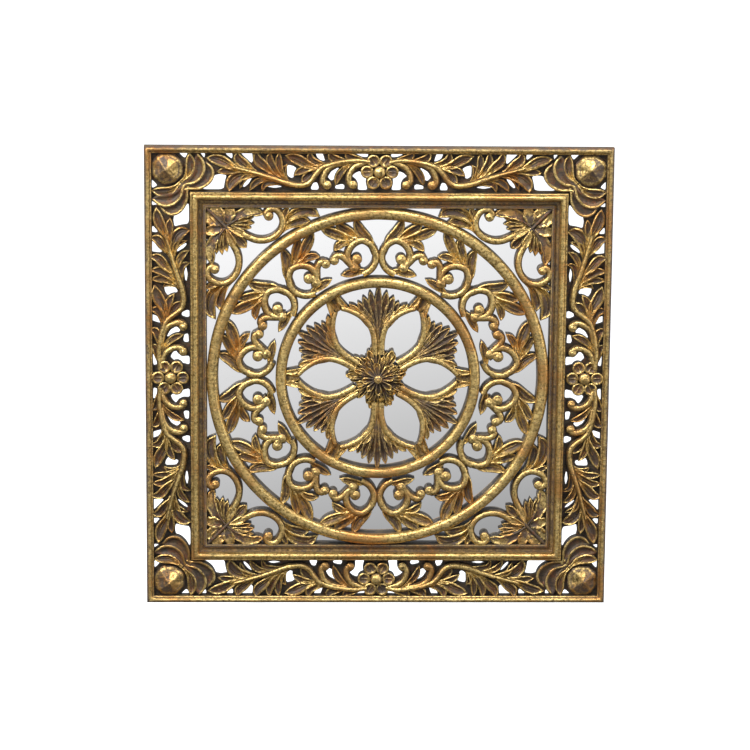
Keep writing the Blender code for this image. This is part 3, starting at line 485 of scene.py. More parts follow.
def add_band(carving, half, points, back):
    """A broad rounded band, its crest nearer the outside of the loop, with a bead on the inner edge."""
    line = spaced(points, spacing=2.2, draft=120, fewest=6, most=110)
    t = np.linspace(0, 1, len(line))[:, None]
    u = ACROSS[None, :]
    h = half * (1 - 0.25 * t ** 3)
    v = u * bend_side(line)
    body = np.sqrt(np.clip(1 - ((v + 0.16) / 0.84) ** 2, 0, 1))
    bead = bump((v - 0.84) * h, 0.7)
    depth = BAND_TOP - 4.2 + 4.2 * body + 2.6 * bead - 14 * np.clip(abs(u) - 0.94, 0, 1)
    gild_and_painted_light = np.clip(0.15 + 0.85 * body + 0.7 * bead, 0, 1)
    carving.add_grid(strip(line, h, depth), gild_and_painted_light, behind(back))


def add_disc(carving, centre, radius, back, share, angle, depth, gild_and_painted_light):
    """A boss given by its depth and gold at each share of the radius and each angle."""
    turns, rings = depth.shape
    x = centre[0] + radius * share * np.cos(angle)
    z = centre[1] + radius * share * np.sin(angle)
    face = np.stack([x, -depth, z], axis=-1)
    first = carving.add(face.reshape(-1, 3), gild_and_painted_light.reshape(-1))
    index = first + np.arange(turns * rings).reshape(turns, rings)
    loop = np.vstack([index, index[:1]])
    carving.faces.append([[loop[k, 0], loop[k, 1], loop[k + 1, 1]] for k in range(turns)])
    carving.faces.append(quads(loop[:, 1:])[:, ::-1])
    carving.add_walls(index[:, -1], face[:, -1], behind(back))


def polar(turns, rings):
    """Shares of a radius, closer together near the edge, and angles all round."""
    share = np.sin(np.linspace(0, pi / 2, rings))[None, :]
    return share, (2 * pi * np.arange(turns) / turns)[:, None]


def add_dome(carving, centre, radius, foot, top, back, turns, rings, groove):
    """A round boss with a shallow groove round its middle."""
    share, angle = polar(turns, rings)
    ring = groove * bump(share - 0.5, 0.14)
    depth = foot + (top - foot) * np.sqrt(np.clip(1 - share * share, 0, 1)) - 1.6 * ring + 0 * angle
    gild_and_painted_light = np.clip(1 - share ** 6 - 0.9 * ring, 0, 1) + 0 * angle
    add_disc(carving, centre, radius, back, share, angle, depth, gild_and_painted_light)


def add_bud(carving, centre, radius, turn):
    """The corner boss: a blunt four-sided pyramid with uneven facets, one of them lit by a painted highlight.
    """
    share, angle = polar(84, 20)
    tilt = angle - radians(38 + turn)
    across = share * np.cos(tilt) + 0.10 * (1 - share)
    up = share * np.sin(tilt) - 0.06 * (1 - share)
    facet = abs(across) + abs(up)
    lumps = 0.5 * np.sin(5.1 * share * np.cos(angle) + 1.0) * np.sin(6.3 * share * np.sin(angle) + 2.0)
    lumps = lumps + 0.25 * np.sin(13 * share * np.cos(angle + 0.6)) * np.sin(11 * share * np.sin(angle + 0.6))
    shoulder = np.clip(share - 0.86, 0, 1) ** 1.4
    depth = BUD_TOP - 11.5 * np.clip(facet / 1.05, 0, 1.2) - 32.5 * shoulder + lumps
    outline = 1 + 0.05 * np.sin(4 * (angle - radians(45))) ** 2 + 0.02 * np.sin(3 * angle + 1)
    # Painted highlight on one facet: toward the right on the left-hand buds and toward the upper left on the
    # right-hand ones
    heading = radians(12 if centre[0] < 0 else 140)
    painted_highlight = np.clip(1.8 * np.cos(angle - heading) - 0.35, 0, 1) * np.clip((0.70 - share) / 0.12, 0, 1)
    edge = bump(across, 0.06) + 0.6 * bump(up - 0.03, 0.06)
    gild_and_painted_light = 0.34 + 0.85 * painted_highlight + 0.14 * edge + 0.30 * bump(share - 0.84, 0.07)
    # Painted shade darkens the boss's steep foot
    gild_and_painted_light = np.clip(gild_and_painted_light - 2.0 * np.clip(share - 0.93, 0, 1), LEAST_GOLD, 1)
    add_disc(carving, centre, radius, WALL_BACK, share * outline, angle, depth, gild_and_painted_light)


def add_cup(carving, centre, radius, heading):
    """A round petal with a bright bead round it and a hollow inside."""
    share, angle = polar(30, 9)
    out = 0.5 + 0.5 * np.cos(angle - heading)
    rim = bump((1 - share) * radius - 1.6, 1.0 + 0.5 * out) * (0.62 + 0.38 * out)
    hollow = np.clip((1 - share) * radius / 3.5 - 0.6, 0, 1)
    rib = bump(share * radius * np.sin(angle - heading), 0.9)
    depth = PETAL_DEPTH + 1.6 * rim - 3.2 * hollow + 1.5 * rib * hollow
    gild_and_painted_light = np.clip(0.14 + 0.90 * rim + 0.30 * rib + 0.35 * (1 - out) * share, 0, 1)
    add_disc(carving, centre, radius, WALL_BACK, share, angle, depth, gild_and_painted_light)


def inside_loops(points, loops):
    """Which points lie inside an odd number of the loops."""
    hits = np.zeros(len(points), int)
    for loop in loops:
        for (ax, az), (bx, bz) in zip(loop, np.roll(loop, -1, axis=0)):
            if az != bz:
                spans = (az > points[:, 1]) != (bz > points[:, 1])
                hits += spans & (ax + (points[:, 1] - az) * (bx - ax) / (bz - az) > points[:, 0])
    return hits % 2 == 1


def turning(loop):
    """Above 0 for a loop that runs anticlockwise."""
    x, z = loop.T
    return np.dot(x, np.roll(z, -1)) - np.dot(z, np.roll(x, -1))


def rounded(corners, steps=4):
    """A closed loop through the corners, softened between them."""
    p = np.asarray(corners, float)
    loop = []
    for a, b, c in zip(np.roll(p, 1, axis=0), p, np.roll(p, -1, axis=0)):
        for k in range(steps):
            s = (k + 0.5) / steps
            start, end = b + 0.3 * (a - b), b + 0.3 * (c - b)
            loop.append((1 - s) ** 2 * start + 2 * s * (1 - s) * b + s * s * end)
    return np.array(loop)


def add_plate(carving, outline, openings, depth, back):
    """The flat ground behind the leaves, coloured dark as painted shade, pierced by its openings."""
    outline = np.asarray(outline, float)
    loops = [outline if turning(outline) > 0 else outline[::-1]]
    loops += [loop if turning(loop) < 0 else loop[::-1] for loop in map(rounded, openings)]
    corners = np.vstack(loops)
    edges = []
    for loop in loops:
        first = len(edges)
        edges += [(first + k, first + (k + 1) % len(loop)) for k in range(len(loop))]
    made = delaunay_2d_cdt([tuple(map(float, p)) for p in corners], edges, [], 0, 1e-6, False)
    places = np.array([tuple(p) for p in made[0]])
    faces = np.array(made[2])
    faces = faces[inside_loops(places[faces].mean(axis=1), loops)]
    front = np.stack([places[:, 0], np.full(len(places), -float(depth)), places[:, 1]], axis=1)
    rear = front * (1, 0, 1) - (0, back, 0)
    # Painted shade: the ground plate is coloured dark, as the shade behind the leaves
    first = carving.add(front, np.full(len(front), PLATE_PAINTED_SHADE))
    base = carving.add(rear, np.full(len(rear), BACK_PAINTED_SHADE))
    carving.faces.append(first + faces)
    carving.faces.append(base + faces[:, ::-1])
    near = [int(np.argmin(np.hypot(*(places - p).T))) for p in corners]
    walls = [(near[a], near[b]) for a, b in edges]
    carving.faces.append([[first + a, base + a, base + b, first + b] for a, b in walls])


# What sets each kind of leaf apart from a plain one
LEAF_KINDS = {
    "sepal": dict(lean=-0.12, ribbed=False, root_gold=0.1, rim_size=1.35, one_rim=True, gold=-0.10),
    "wedge": dict(base=WEDGE_BASE, gold=0.30, root_gold=0.0, width=wedge_width, rim_gold=0.3, ribbed=False),
    "frond": dict(base=FROND_BASE, gold=0.42, root_gold=-0.75, width=frond_width, ribbed=False, fullness=0.55,
                  scallops=3, spacing=1.4, lean=0.12, rim_gold=0.55, tip_gold=0.2, root_drop=4.0),
    "shade": dict(base=SHADE_BASE, gold=0.05, root_gold=-0.1, rim_gold=0.45, tip_gold=0.3),
    "oval": dict(base=OVAL_BASE, gold=0.45, root_gold=0.0, fullness=0.5, rim_gold=0.5),
}


def add_stroke(carving, stroke, back, gold=0.0):
    """Carve one drawn stroke; the gold is added to plain leaves alone."""
    kind, half, points = stroke
    if kind == "leaf":
        add_leaf(carving, half, points, back=back, gold=gold)
    elif kind == "sepal":
        add_leaf(carving, half, points, back=back, base=SEPAL_BASE - SEPAL_SLOPE * half, **LEAF_KINDS[kind])
    elif kind in LEAF_KINDS:
        add_leaf(carving, half, points, back=back, **LEAF_KINDS[kind])
    elif kind == "vein":
        add_shade_vein(carving, half, points, back)
    elif kind == "stem":
        add_stem(carving, half, points, back=back)
    elif kind == "vine":
        add_stem(carving, half, points, top=VINE_TOP, back=back, taper=0.35, spacing=3.0, thin_root=0.58)
    elif kind == "curl":
        add_curl(carving, half, points, back=back)
    elif kind == "band":
        add_band(carving, half, points, back=back)


# Swept mouldings

# Each section's points: distance from the inner edge, depth, gold; the gold on walls and backs is painted
# shade, and the raised gold at the frame's step corner is a painted highlight
FRAME_SECTION = [
    (0.0, FIELD_BACK, BACK_PAINTED_SHADE), (0.0, 18.6, WALL_PAINTED_SHADE),
    (0.25, 19.6, 0.05), (1.0, 20.1, 0.34), (1.7, 20.2, 0.30),
    (2.6, 20.2, 0.12), (4.4, 20.1, 0.08), (5.3, 19.4, 0.36), (5.9, 17.9, 0.26), (6.5, 16.2, 0.20),
    (7.6, 15.6, 0.22), (9.6, 15.5, 0.29), (11.2, 15.6, 0.26), (12.1, 16.6, 0.19), (12.6, 20.0, 0.28),
    (13.0, 24.0, 0.5), (13.9, 26.8, 0.85), (15.3, 28.8, 1.0), (17.0, 29.7, 1.0), (18.8, 29.7, 1.0),
    (20.6, 28.8, 0.95), (22.0, 27.2, 0.75), (22.7, 25.9, 0.3), (23.0, 25.5, 0.15), (23.4, 25.7, 0.5),
    (24.1, 26.0, 1.0), (24.9, 25.7, 1.0), (25.6, 24.4, 0.7), (26.0, 22.6, 0.25), (26.0, 21.0, -0.3),
    (26.0, WALL_BACK, BACK_PAINTED_SHADE),
]
RIM_SECTION = [
    (0.0, WALL_BACK, BACK_PAINTED_SHADE), (0.0, 16.0, WALL_PAINTED_SHADE), (0.2, 17.6, 0.1), (0.9, 19.0, 0.5), (1.7, 19.4, 0.6),
    (2.3, 19.1, 0.25), (2.7, 19.3, 0.15), (3.2, 20.8, 0.6), (4.2, 22.5, 0.46), (5.6, 23.5, 0.46),
    (7.2, 23.7, 0.38), (8.6, 23.1, 0.28), (10.0, 21.6, 0.18), (11.1, 19.4, 0.06), (11.8, 17.0, -0.05),
    (12.0, 14.5, 0.0), (12.0, 8.0, WALL_PAINTED_SHADE), (12.0, WALL_BACK, BACK_PAINTED_SHADE),
]

# Only what stands above this depth is uneven
RAISED = 16


def waviness(count, size, seed):
    """Small smooth unevenness along a moulding, as a hand leaves it."""
    noise = np.random.default_rng(seed).normal(0, 1, count)
    kernel = np.hanning(7)
    wrapped = np.concatenate([noise[-3:], noise, noise[:3]])
    return size * np.convolve(wrapped, kernel / kernel.sum(), mode="valid")


def swept(carving, ring, section, seed, uneven):
    """Sweep a section round a closed path: ring(k, across) gives the place at step k."""
    steps = ring.steps
    wave = waviness(steps, uneven, seed)
    side = waviness(steps, uneven, seed + 1)
    face = np.zeros((steps, len(section), 3))
    for k in range(steps):
        for n, (across, depth, _) in enumerate(section):
            raised = depth > RAISED and 0 < n < len(section) - 1
            x, z = ring(k, across + (side[k] if raised else 0))
            face[k, n] = (x, -(depth + (wave[k] if raised else 0)), z)
    gild_and_painted_light = np.tile([gold for _, _, gold in section], steps)
    first = carving.add(face.reshape(-1, 3), gild_and_painted_light)
    index = first + np.arange(steps * len(section)).reshape(steps, len(section))
    loop = np.vstack([index, index[:1]])
    around = np.hstack([loop, loop[:, :1]])
    carving.faces.append(quads(around))


class SquarePath:
    """A square path that starts at its top left corner."""

    steps = 4 * SIDE_STEPS

    def __init__(self, inner):
        self.inner = inner

    def __call__(self, k, across):
        d = self.inner + across
        side, at = divmod(k, SIDE_STEPS)
        s = -1 + 2 * at / SIDE_STEPS
        return [(s * d, d), (d, -s * d), (-s * d, -d), (-d, s * d)][side]


class RoundPath:
    """A round path that starts at its top."""

    def __init__(self, inner, steps):
        self.inner = inner
        self.steps = steps

    def __call__(self, k, across):
        a = pi / 2 - 2 * pi * k / self.steps
        r = self.inner + across
        return r * cos(a), r * sin(a)


def ring_section(width):
    """A round bead with a small quirk at each side."""
    wall_top = RING_FOOT - 1.5
    bead_foot = RING_FOOT + 0.6
    section = [(0.0, FIELD_BACK, BACK_PAINTED_SHADE), (0.0, wall_top, WALL_PAINTED_SHADE), (0.15, RING_FOOT, 0.1)]
    half = width / 2
    for u in np.linspace(-0.96, 0.96, 17):
        depth = bead_foot + (RING_TOP - bead_foot) * np.sqrt(1 - abs(u) ** 2.2)
        gold = 1.0 if abs(u) < 0.8 else 0.55
        section.append((half * (1 + u), depth, gold))
    section += [(width - 0.15, RING_FOOT, 0.1), (width, wall_top, WALL_PAINTED_SHADE), (width, FIELD_BACK, BACK_PAINTED_SHADE)]
    return section


# Materials

class Nodes:
    """Short forms for building a material's node tree."""

    def __init__(self, name):
        self.material = bpy.data.materials.new(name)
        self.material.use_nodes = True
        self.tree = self.material.node_tree
        self.shader = self.tree.nodes["Principled BSDF"]
        self.place = self.tree.nodes.new("ShaderNodeTexCoord").outputs["Object"]

    def link(self, source, target):
        self.tree.links.new(source, target)

    def noise(self, scale, detail=3.0, roughness=0.55, distortion=0.0, place=None):
        node = self.tree.nodes.new("ShaderNodeTexNoise")
        node.inputs["Scale"].default_value = scale
        node.inputs["Detail"].default_value = detail
        node.inputs["Roughness"].default_value = roughness
        node.inputs["Distortion"].default_value = distortion
        self.link(place or self.place, node.inputs["Vector"])
        return node.outputs["Fac"]

    def stretched(self, scale, tilt):
        """Places drawn out along a line that leans by the tilt, in radians, across the face."""
        node = self.tree.nodes.new("ShaderNodeMapping")
        node.inputs["Rotation"].default_value = (0.0, tilt, 0.0)
        node.inputs["Scale"].default_value = scale
        self.link(self.place, node.inputs["Vector"])
        return node.outputs["Vector"]

    def attribute(self, name):
        node = self.tree.nodes.new("ShaderNodeAttribute")
        node.attribute_name = name
        return node.outputs["Fac"]

    def math(self, operation, a, b=0.0, c=0.0, clamp=False):
        node = self.tree.nodes.new("ShaderNodeMath")
        node.operation = operation
        node.use_clamp = clamp
        for socket, value in zip(node.inputs, (a, b, c)):
            if isinstance(value, (int, float)):
                socket.default_value = value
            else:
                self.link(value, socket)
        return node.outputs[0]

    def ramp(self, value, low, high, to_low=0.0, to_high=1.0):
        node = self.tree.nodes.new("ShaderNodeMapRange")
        node.interpolation_type = "SMOOTHSTEP"
        node.inputs["From Min"].default_value = low
        node.inputs["From Max"].default_value = high
        node.inputs["To Min"].default_value = to_low
        node.inputs["To Max"].default_value = to_high
        self.link(value, node.inputs["Value"])
        return node.outputs["Result"]

    def mix(self, factor, a, b):
        node = self.tree.nodes.new("ShaderNodeMix")
        node.data_type = "RGBA"
        sockets = [s for s in node.inputs if s.type == "RGBA"]
        self.link(factor, node.inputs["Factor"])
        for socket, value in zip(sockets, (a, b)):
            if isinstance(value, tuple):
                socket.default_value = (*value, 1.0)
            else:
                self.link(value, socket)
        return [s for s in node.outputs if s.type == "RGBA"][0]

    def spots(self, scale):
        node = self.tree.nodes.new("ShaderNodeTexVoronoi")
        node.inputs["Scale"].default_value = scale
        self.link(self.place, node.inputs["Vector"])
        return node.outputs["Distance"]

    def bump(self, height, distance, strength, normal=None):
        node = self.tree.nodes.new("ShaderNodeBump")
        node.inputs["Distance"].default_value = abs(distance)
        node.invert = distance < 0
        node.inputs["Strength"].default_value = strength
        self.link(height, node.inputs["Height"])
        if normal:
            self.link(normal, node.inputs["Normal"])
        return node.outputs["Normal"]


# Colours of the finish
GOLD_LIGHT = (0.84, 0.625, 0.25)
GOLD = (0.46, 0.295, 0.095)
OLIVE = (0.22, 0.150, 0.055)
COPPER = (0.50, 0.225, 0.062)
BOLE = (0.17, 0.060, 0.022)
BROWN = (0.105, 0.062, 0.029)
PLUM = (0.085, 0.057, 0.042)
# Dark wash in the hollows, also used as painted shade
WASH_AND_SHADE = (0.036, 0.028, 0.018)

# How finely the marks of the finish repeat, per metre
BROAD_SCALE = 15.0
PATCH_SCALE = 60.0
FINE_SCALE = 240.0
GRAIN_SCALE = 900.0
PIT_SCALE = 230.0
STROKE_SCALE = (40.0, 100.0, 300.0)
STROKE_TILT = 0.55

# Heights of the finish's own relief, in metres
PATCH_RELIEF = 0.0018
FINE_RELIEF = 0.0009
MARK_RELIEF = -0.0006
GRAIN_RELIEF = 0.00015

LACQUER_IOR = 1.5


def gilt(name, dark, copper, wear, marks, brushed, dull=0.0, lumps=1.0):
    """Gold leaf over red-brown bole, rubbed through in places, with a dark wash in the hollows; the gold
    value also brings painted shade and painted highlights.
    """
    n = Nodes(name)
    broad = n.noise(BROAD_SCALE, 3.0)
    patch = n.noise(PATCH_SCALE, 3.0, 0.6, 0.6)
    fine = n.noise(FINE_SCALE, 4.0, 0.65)
    grain = n.noise(GRAIN_SCALE, 3.0, 0.6)

    gild_and_painted_light = n.attribute("gild_and_painted_light")
    # The gold value holds painted shade and painted highlights besides the gilding, so this is wear and
    # painted shade together
    wear_and_shade = n.math("ADD", gild_and_painted_light, n.math("MULTIPLY_ADD", patch, wear, -0.54 * wear - dark))
    wear_and_shade = n.math("ADD", wear_and_shade, n.math("MULTIPLY_ADD", fine, wear, -0.5 * wear))
    leafed_not_shaded = n.ramp(wear_and_shade, 0.24, 0.60)

    # Dark wash in the hollows, and painted shade on walls, backs and ground plates
    deep = n.ramp(wear_and_shade, -0.30, 0.10)
    under = n.mix(n.ramp(patch, 0.42, 0.60), PLUM, n.mix(n.ramp(fine, 0.42, 0.60), BROWN, BOLE))
    shade = n.mix(deep, WASH_AND_SHADE, under)

    gold = n.mix(n.ramp(fine, 0.36, 0.62), GOLD, GOLD_LIGHT)
    rubbed = n.math("ADD", fine, n.math("MULTIPLY_ADD", patch, 0.5, -0.25))
    gold = n.mix(n.ramp(rubbed, 0.30, 0.46), OLIVE, gold)
    tone = n.math("ADD", broad, n.math("MULTIPLY_ADD", fine, 0.35, -0.175 + copper))
    gold = n.mix(n.ramp(tone, 0.50, 0.72, 0.0, 0.75), gold, COPPER)
    colour = n.mix(leafed_not_shaded, shade, gold)

    pit = n.math("MULTIPLY", n.ramp(n.spots(PIT_SCALE), 0.20, 0.34, 1.0, 0.0), n.ramp(patch, 0.46, 0.56))
    stroke = n.noise(1.0, 3.0, 0.6, 0.3, n.stretched(STROKE_SCALE, STROKE_TILT))
    colour = n.mix(n.ramp(stroke, 0.38, 0.52, brushed, 0.0), colour, OLIVE)
    streak = n.ramp(stroke, 0.30, 0.38, 1.0, 0.0)
    mark = n.math("MAXIMUM", pit, n.math("MULTIPLY", streak, 0.8))
    colour = n.mix(n.math("MULTIPLY", mark, 0.85 * marks), colour, WASH_AND_SHADE)
    n.link(colour, n.shader.inputs["Base Color"])

    metal = n.math("MULTIPLY", leafed_not_shaded, n.math("SUBTRACT", 1.0, mark), clamp=True)
    n.link(n.math("MULTIPLY_ADD", metal, 0.85, 0.08), n.shader.inputs["Metallic"])
    rough = n.math("MULTIPLY_ADD", metal, -0.14, 0.49 + dull)
    n.link(n.math("MULTIPLY_ADD", fine, 0.22, n.math("SUBTRACT", rough, 0.09)), n.shader.inputs["Roughness"])

    relief = n.bump(patch, PATCH_RELIEF * lumps, 0.6)
    relief = n.bump(fine, FINE_RELIEF * lumps, 0.7, relief)
    relief = n.bump(mark, MARK_RELIEF, 0.8, relief)
    relief = n.bump(grain, GRAIN_RELIEF, 0.5, relief)
    n.link(relief, n.shader.inputs["Normal"])
    n.shader.inputs["IOR"].default_value = LACQUER_IOR
    return n.material


def silvered():
    """Flat mirror glass, very slightly uneven in its polish and tint."""
    n = Nodes("silvered mirror")
    n.link(n.ramp(n.noise(3.0, 2.0), 0.3, 0.7, 0.015, 0.03), n.shader.inputs["Roughness"])
    tint = n.mix(n.ramp(n.noise(1.5, 1.0), 0.3, 0.7), (0.90, 0.905, 0.91), (0.92, 0.92, 0.925))
    n.link(tint, n.shader.inputs["Base Color"])
    n.shader.inputs["Metallic"].default_value = 1.0
    return n.material


# The panel

def all_corners(strokes):
    """Each stroke at the eight places that the square's mirror lines give."""
    for kind, half, points in strokes:
        for quarter in range(4):
            for version in (points, across_diagonal(points)):
                yield kind, half, turned(version, -90 * quarter)


def all_round(strokes, count):
    """Each stroke and its mirror image, so many times round the centre."""
    for kind, half, points in strokes:
        for k in range(count):
            for version in (points, flipped(points)):
                yield kind, half, turned(version, 360 * k / count)


def add_flower(carving, centre):
    """Round petals about a domed button."""
    cx, cz = centre
    for k in range(FLOWER_PETALS):
        heading = 2 * pi * k / FLOWER_PETALS
        place = (cx + PETAL_REACH * cos(heading), cz + PETAL_REACH * sin(heading))
        add_cup(carving, place, PETAL_RADIUS, heading)
    add_dome(carving, centre, FLOWER_BUTTON_RADIUS, PETAL_DEPTH, FLOWER_BUTTON_TOP, WALL_BACK,
             turns=32, rings=12, groove=0.3)


def leaflet_width(t):
    """Widening from the root, with notched edges and a pointed tip."""
    narrowing = np.clip(1 - (np.clip(t - 0.66, 0, 1) / 0.35) ** 1.5, 0, 1) ** 0.8
    notch = 0.16 * ((4.5 * t) % 1.0) * (t > 0.45) * (t < 0.95)
    return np.clip(0.20 + 0.95 * t, 0, 1.05) * narrowing * (1 - notch) + 0.03


def finger_width(t):
    """Widening from the root, with a round tip."""
    narrowing = np.sqrt(np.clip(1 - (np.clip(t - 0.66, 0, 1) / 0.35) ** 2, 0, 1))
    return np.clip(0.3 + 0.9 * t ** 0.8, 0, 1) * narrowing + 0.03


def add_fan(carving, turn):
    """Leaflets spread from one root, the middle one on top."""
    bx, bz = FAN_BASE
    for number, (degrees, length, half) in enumerate(FAN_LEAFLETS):
        for side in ((1,) if degrees == 0 else (1, -1)):
            a = radians(90 + side * degrees)
            out = [(bx + length * f * cos(a), bz + length * f * sin(a)) for f in (0.0, 0.35, 0.7, 1.0)]
            base = FAN_LEAF_BASE + FAN_LEAF_STEP * number
            add_leaf(carving, half, turned(out, turn), FIELD_BACK, base=base, tip_drop=2.2, root_drop=1.5,
                     width=leaflet_width, gold=-0.03, lean=0.10, spacing=1.9, root_gold=-0.10, tip_gold=0.12,
                     rim_gold=0.30, rim_size=0.8)


def add_rosette(carving):
    """Tiers of leaves about a button; a leaf with three fingers has its middle one on top."""
    for count, fingers, start, tip, half, root, end, turn in ROSETTE_TIERS:
        spread = 0.40 * 2 * half / tip * 180 / pi
        half_width = half * (0.95 if fingers == 1 else 0.56)
        gold = 0.10 if fingers == 1 else -0.06
        drop = (root - end) / 2
        for k in range(count):
            heading = 360 * k / count + turn + RANDOM.uniform(-ROSETTE_TURN_SPREAD, ROSETTE_TURN_SPREAD)
            for finger in (-1, 1, 0)[3 - fingers:]:
                reach = tip * (0.90 if finger else 1.0) * RANDOM.uniform(*ROSETTE_REACH_RANGE)
                out = [(0, start), (0, (start + reach) / 2), (0, reach)]
                add_leaf(carving, half_width, turned(out, heading + spread * finger), FIELD_BACK,
                         base=root - drop + (0 if finger else 0.8), tip_drop=drop, root_drop=-drop,
                         width=finger_width, lean=0.18, spacing=1.8, root_gold=-0.4, tip_gold=0.95,
                         rim_gold=0.32, gold=gold, ribbed=False)
    add_dome(carving, (0, 0), ROSETTE_BUTTON_RADIUS, ROSETTE_BUTTON_FOOT, TOP_DEPTH, FIELD_BACK, turns=32,
             rings=12, groove=0.8)


def each_quarter(shape):
    """The shape in each of the panel's four quarters."""
    return [turned(shape, -90 * quarter) for quarter in range(4)]


def make_rails(finish):
    rails = Carving()
    swept(rails, SquarePath(RIM_INNER), RIM_SECTION, RIM_SEED, RAIL_UNEVEN)
    swept(rails, SquarePath(FIELD_HALF), FRAME_SECTION, FRAME_SEED, RAIL_UNEVEN)
    rails.make("rails", finish, MOULDED_ANGLE)


def make_rings(finish):
    rings = Carving()
    big = RoundPath(BIG_RING_OUTER - BIG_RING_WIDTH, BIG_RING_STEPS)
    inner = RoundPath(INNER_RING_OUTER - INNER_RING_WIDTH, INNER_RING_STEPS)
    swept(rings, big, ring_section(BIG_RING_WIDTH), BIG_RING_SEED, RING_UNEVEN)
    swept(rings, inner, ring_section(INNER_RING_WIDTH), INNER_RING_SEED, RING_UNEVEN)
    rings.make("rings", finish, MOULDED_ANGLE)


def make_ground(finish):
    """Half a side of the border at a time, and a plain plate behind each spray, all coloured dark as painted
    shade.
    """
    outer = RIM_INNER + GROUND_UNDER_RIM
    inner = FRAME_OUTER - GROUND_UNDER_FRAME
    trapezoid = [(-outer, outer), (0.0, outer), (0.0, inner), (-inner, inner)]
    shapes = [trapezoid] + BORDER_OPENINGS
    ground = Carving()
    for quarter, plate in enumerate(each_quarter(SPRAY_GROUND)):
        for version in (np.asarray, across_diagonal):
            outline, *openings = [turned(version(shape), -90 * quarter) for shape in shapes]
            add_plate(ground, outline, openings, GROUND, WALL_BACK)
        add_plate(ground, plate, [], SPRAY_GROUND_DEPTH, FIELD_BACK)
    ground.make("dark_ground", finish)


def make_border(finish):
    corners = Carving()
    for stroke in all_corners(CORNER_LEAVES):
        add_stroke(corners, stroke, WALL_BACK)
    for quarter, place in enumerate(each_quarter([CORNER_BUD_CENTRE])):
        add_bud(corners, place[0], CORNER_BUD_RADIUS, -90 * quarter)
    corners.make("corner_buds", finish, BUD_ANGLE)

    vine = Carving()
    for stroke in all_corners(VINE):
        add_stroke(vine, stroke, WALL_BACK)
    vine.make("border_vine", finish)

    flowers = Carving()
    for place in each_quarter([FLOWER_CENTRE]):
        add_flower(flowers, place[0])
    flowers.make("border_flowers", finish)


def make_sprays(finish):
    spray = Carving()
    for stroke in all_corners(CORNER_SPRAY):
        add_stroke(spray, stroke, FIELD_BACK, gold=SPRAY_GOLD)
    for quarter in range(4):
        for kind, half, points in (CORNER_END, CORNER_SHADE_VEIN):
            add_stroke(spray, (kind, half, turned(points, -90 * quarter)), FIELD_BACK)
    spray.make("corner_sprays", finish)


def make_scrolls(finish):
    scrolls = Carving()
    for stroke in all_round(SCROLL, SCROLL_COPIES):
        add_stroke(scrolls, stroke, FIELD_BACK, gold=SCROLL_GOLD)
    scrolls.make("scroll_band", finish)


def make_centre(finish):
    centre = Carving()
    for stroke in all_round(PETAL_BAND, PETAL_LOOPS):
        add_stroke(centre, stroke, FIELD_BACK)
    for k in range(PETAL_LOOPS):
        add_fan(centre, 360 * k / PETAL_LOOPS)
    centre.make("petals_and_fans", finish)

    rosette = Carving()
    add_rosette(rosette)
    rosette.make("rosette", finish)


def build_panel():
    """Every carved piece of the panel, in the order of its random draws."""
    on_rails = gilt("antique gilt rails", dark=-0.11, copper=0.04, wear=0.30, marks=0.75, brushed=0.5,
                    dull=0.02, lumps=0.5)
    on_leaves = gilt("antique gilt carving", dark=0.02, copper=0.05, wear=0.50, marks=0.8, brushed=0.3)
    make_rails(on_rails)
    make_rings(on_rails)
    make_ground(on_leaves)
    make_border(on_leaves)
    make_sprays(on_leaves)
    make_scrolls(on_leaves)
    make_centre(on_leaves)


def dress_mirror():
    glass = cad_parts["mirror_glass"]
    glass.data.materials.clear()
    glass.data.materials.append(silvered())


# Studio

# The camera's place from the panel's centre, its turn as an axis times an angle, and its lens
CAMERA_PLACE = (-0.13735, -4.52808, 0.87900)
CAMERA_TURN = (-0.19132, -0.0055458, -0.0284792)
CAMERA_LENS = 134.83
SENSOR_WIDTH = 36.0
CAMERA_REACH = 100.0

# Strength of the surroundings: as the camera sees them, and as light from below and from above
SEEN_STRENGTH = 1.05
LIGHT_COLOUR = (0.90, 0.94, 1.0, 1)
LIGHT_BELOW = 0.20
LIGHT_ABOVE = 0.66
LIGHT_LOWEST = -0.7
LIGHT_HIGHEST = 0.8

FLOOR_DROP = 1.1
FLOOR_HALF_WIDTH = 30
FLOOR_NEAR = -12
FLOOR_FAR = 40
FLOOR_GLOW = 0.75

# The card that the mirror reflects: its place, and its brightness with height and to the right
CARD_PLACE = -6
CARD_HALF_WIDTH = 3
CARD_TOP = 0.5
CARD_BOTTOM = -3.0
CARD_LEVEL = 1.33
CARD_RISE = 0.50
CARD_FALL = -0.10
CARD_DARKEST = 0.28
CARD_BRIGHTEST = 1.02

SOFTBOXES = [
    # name, place from the panel's centre height, size, watts, colour
    ("key", (-1.5, -1.7, 1.9), (1.4, 1.4), 80, (1.0, 0.97, 0.92)),
    ("top", (0.7, -0.9, 2.2), (1.4, 0.6), 40, (1.0, 0.98, 0.95)),
    ("side", (2.6, -1.4, 0.3), (0.8, 1.6), 14, (1.0, 0.96, 0.92)),
]


def make_camera():
    data = bpy.data.cameras.new("camera")
    data.lens = CAMERA_LENS
    data.sensor_width = SENSOR_WIDTH
    data.clip_end = CAMERA_REACH
    camera = bpy.data.objects.new("camera", data)
    turn = Vector(CAMERA_TURN)
    level = Matrix.Rotation(pi / 2, 4, "X")
    place = Vector(CAMERA_PLACE) + Vector((CENTRE_X, 0, CENTRE_Z))
    aim = Matrix.Rotation(turn.length, 4, turn.normalized()) @ level
    camera.matrix_world = Matrix.Translation(place) @ aim
    bpy.context.scene.collection.objects.link(camera)
    bpy.context.scene.camera = camera


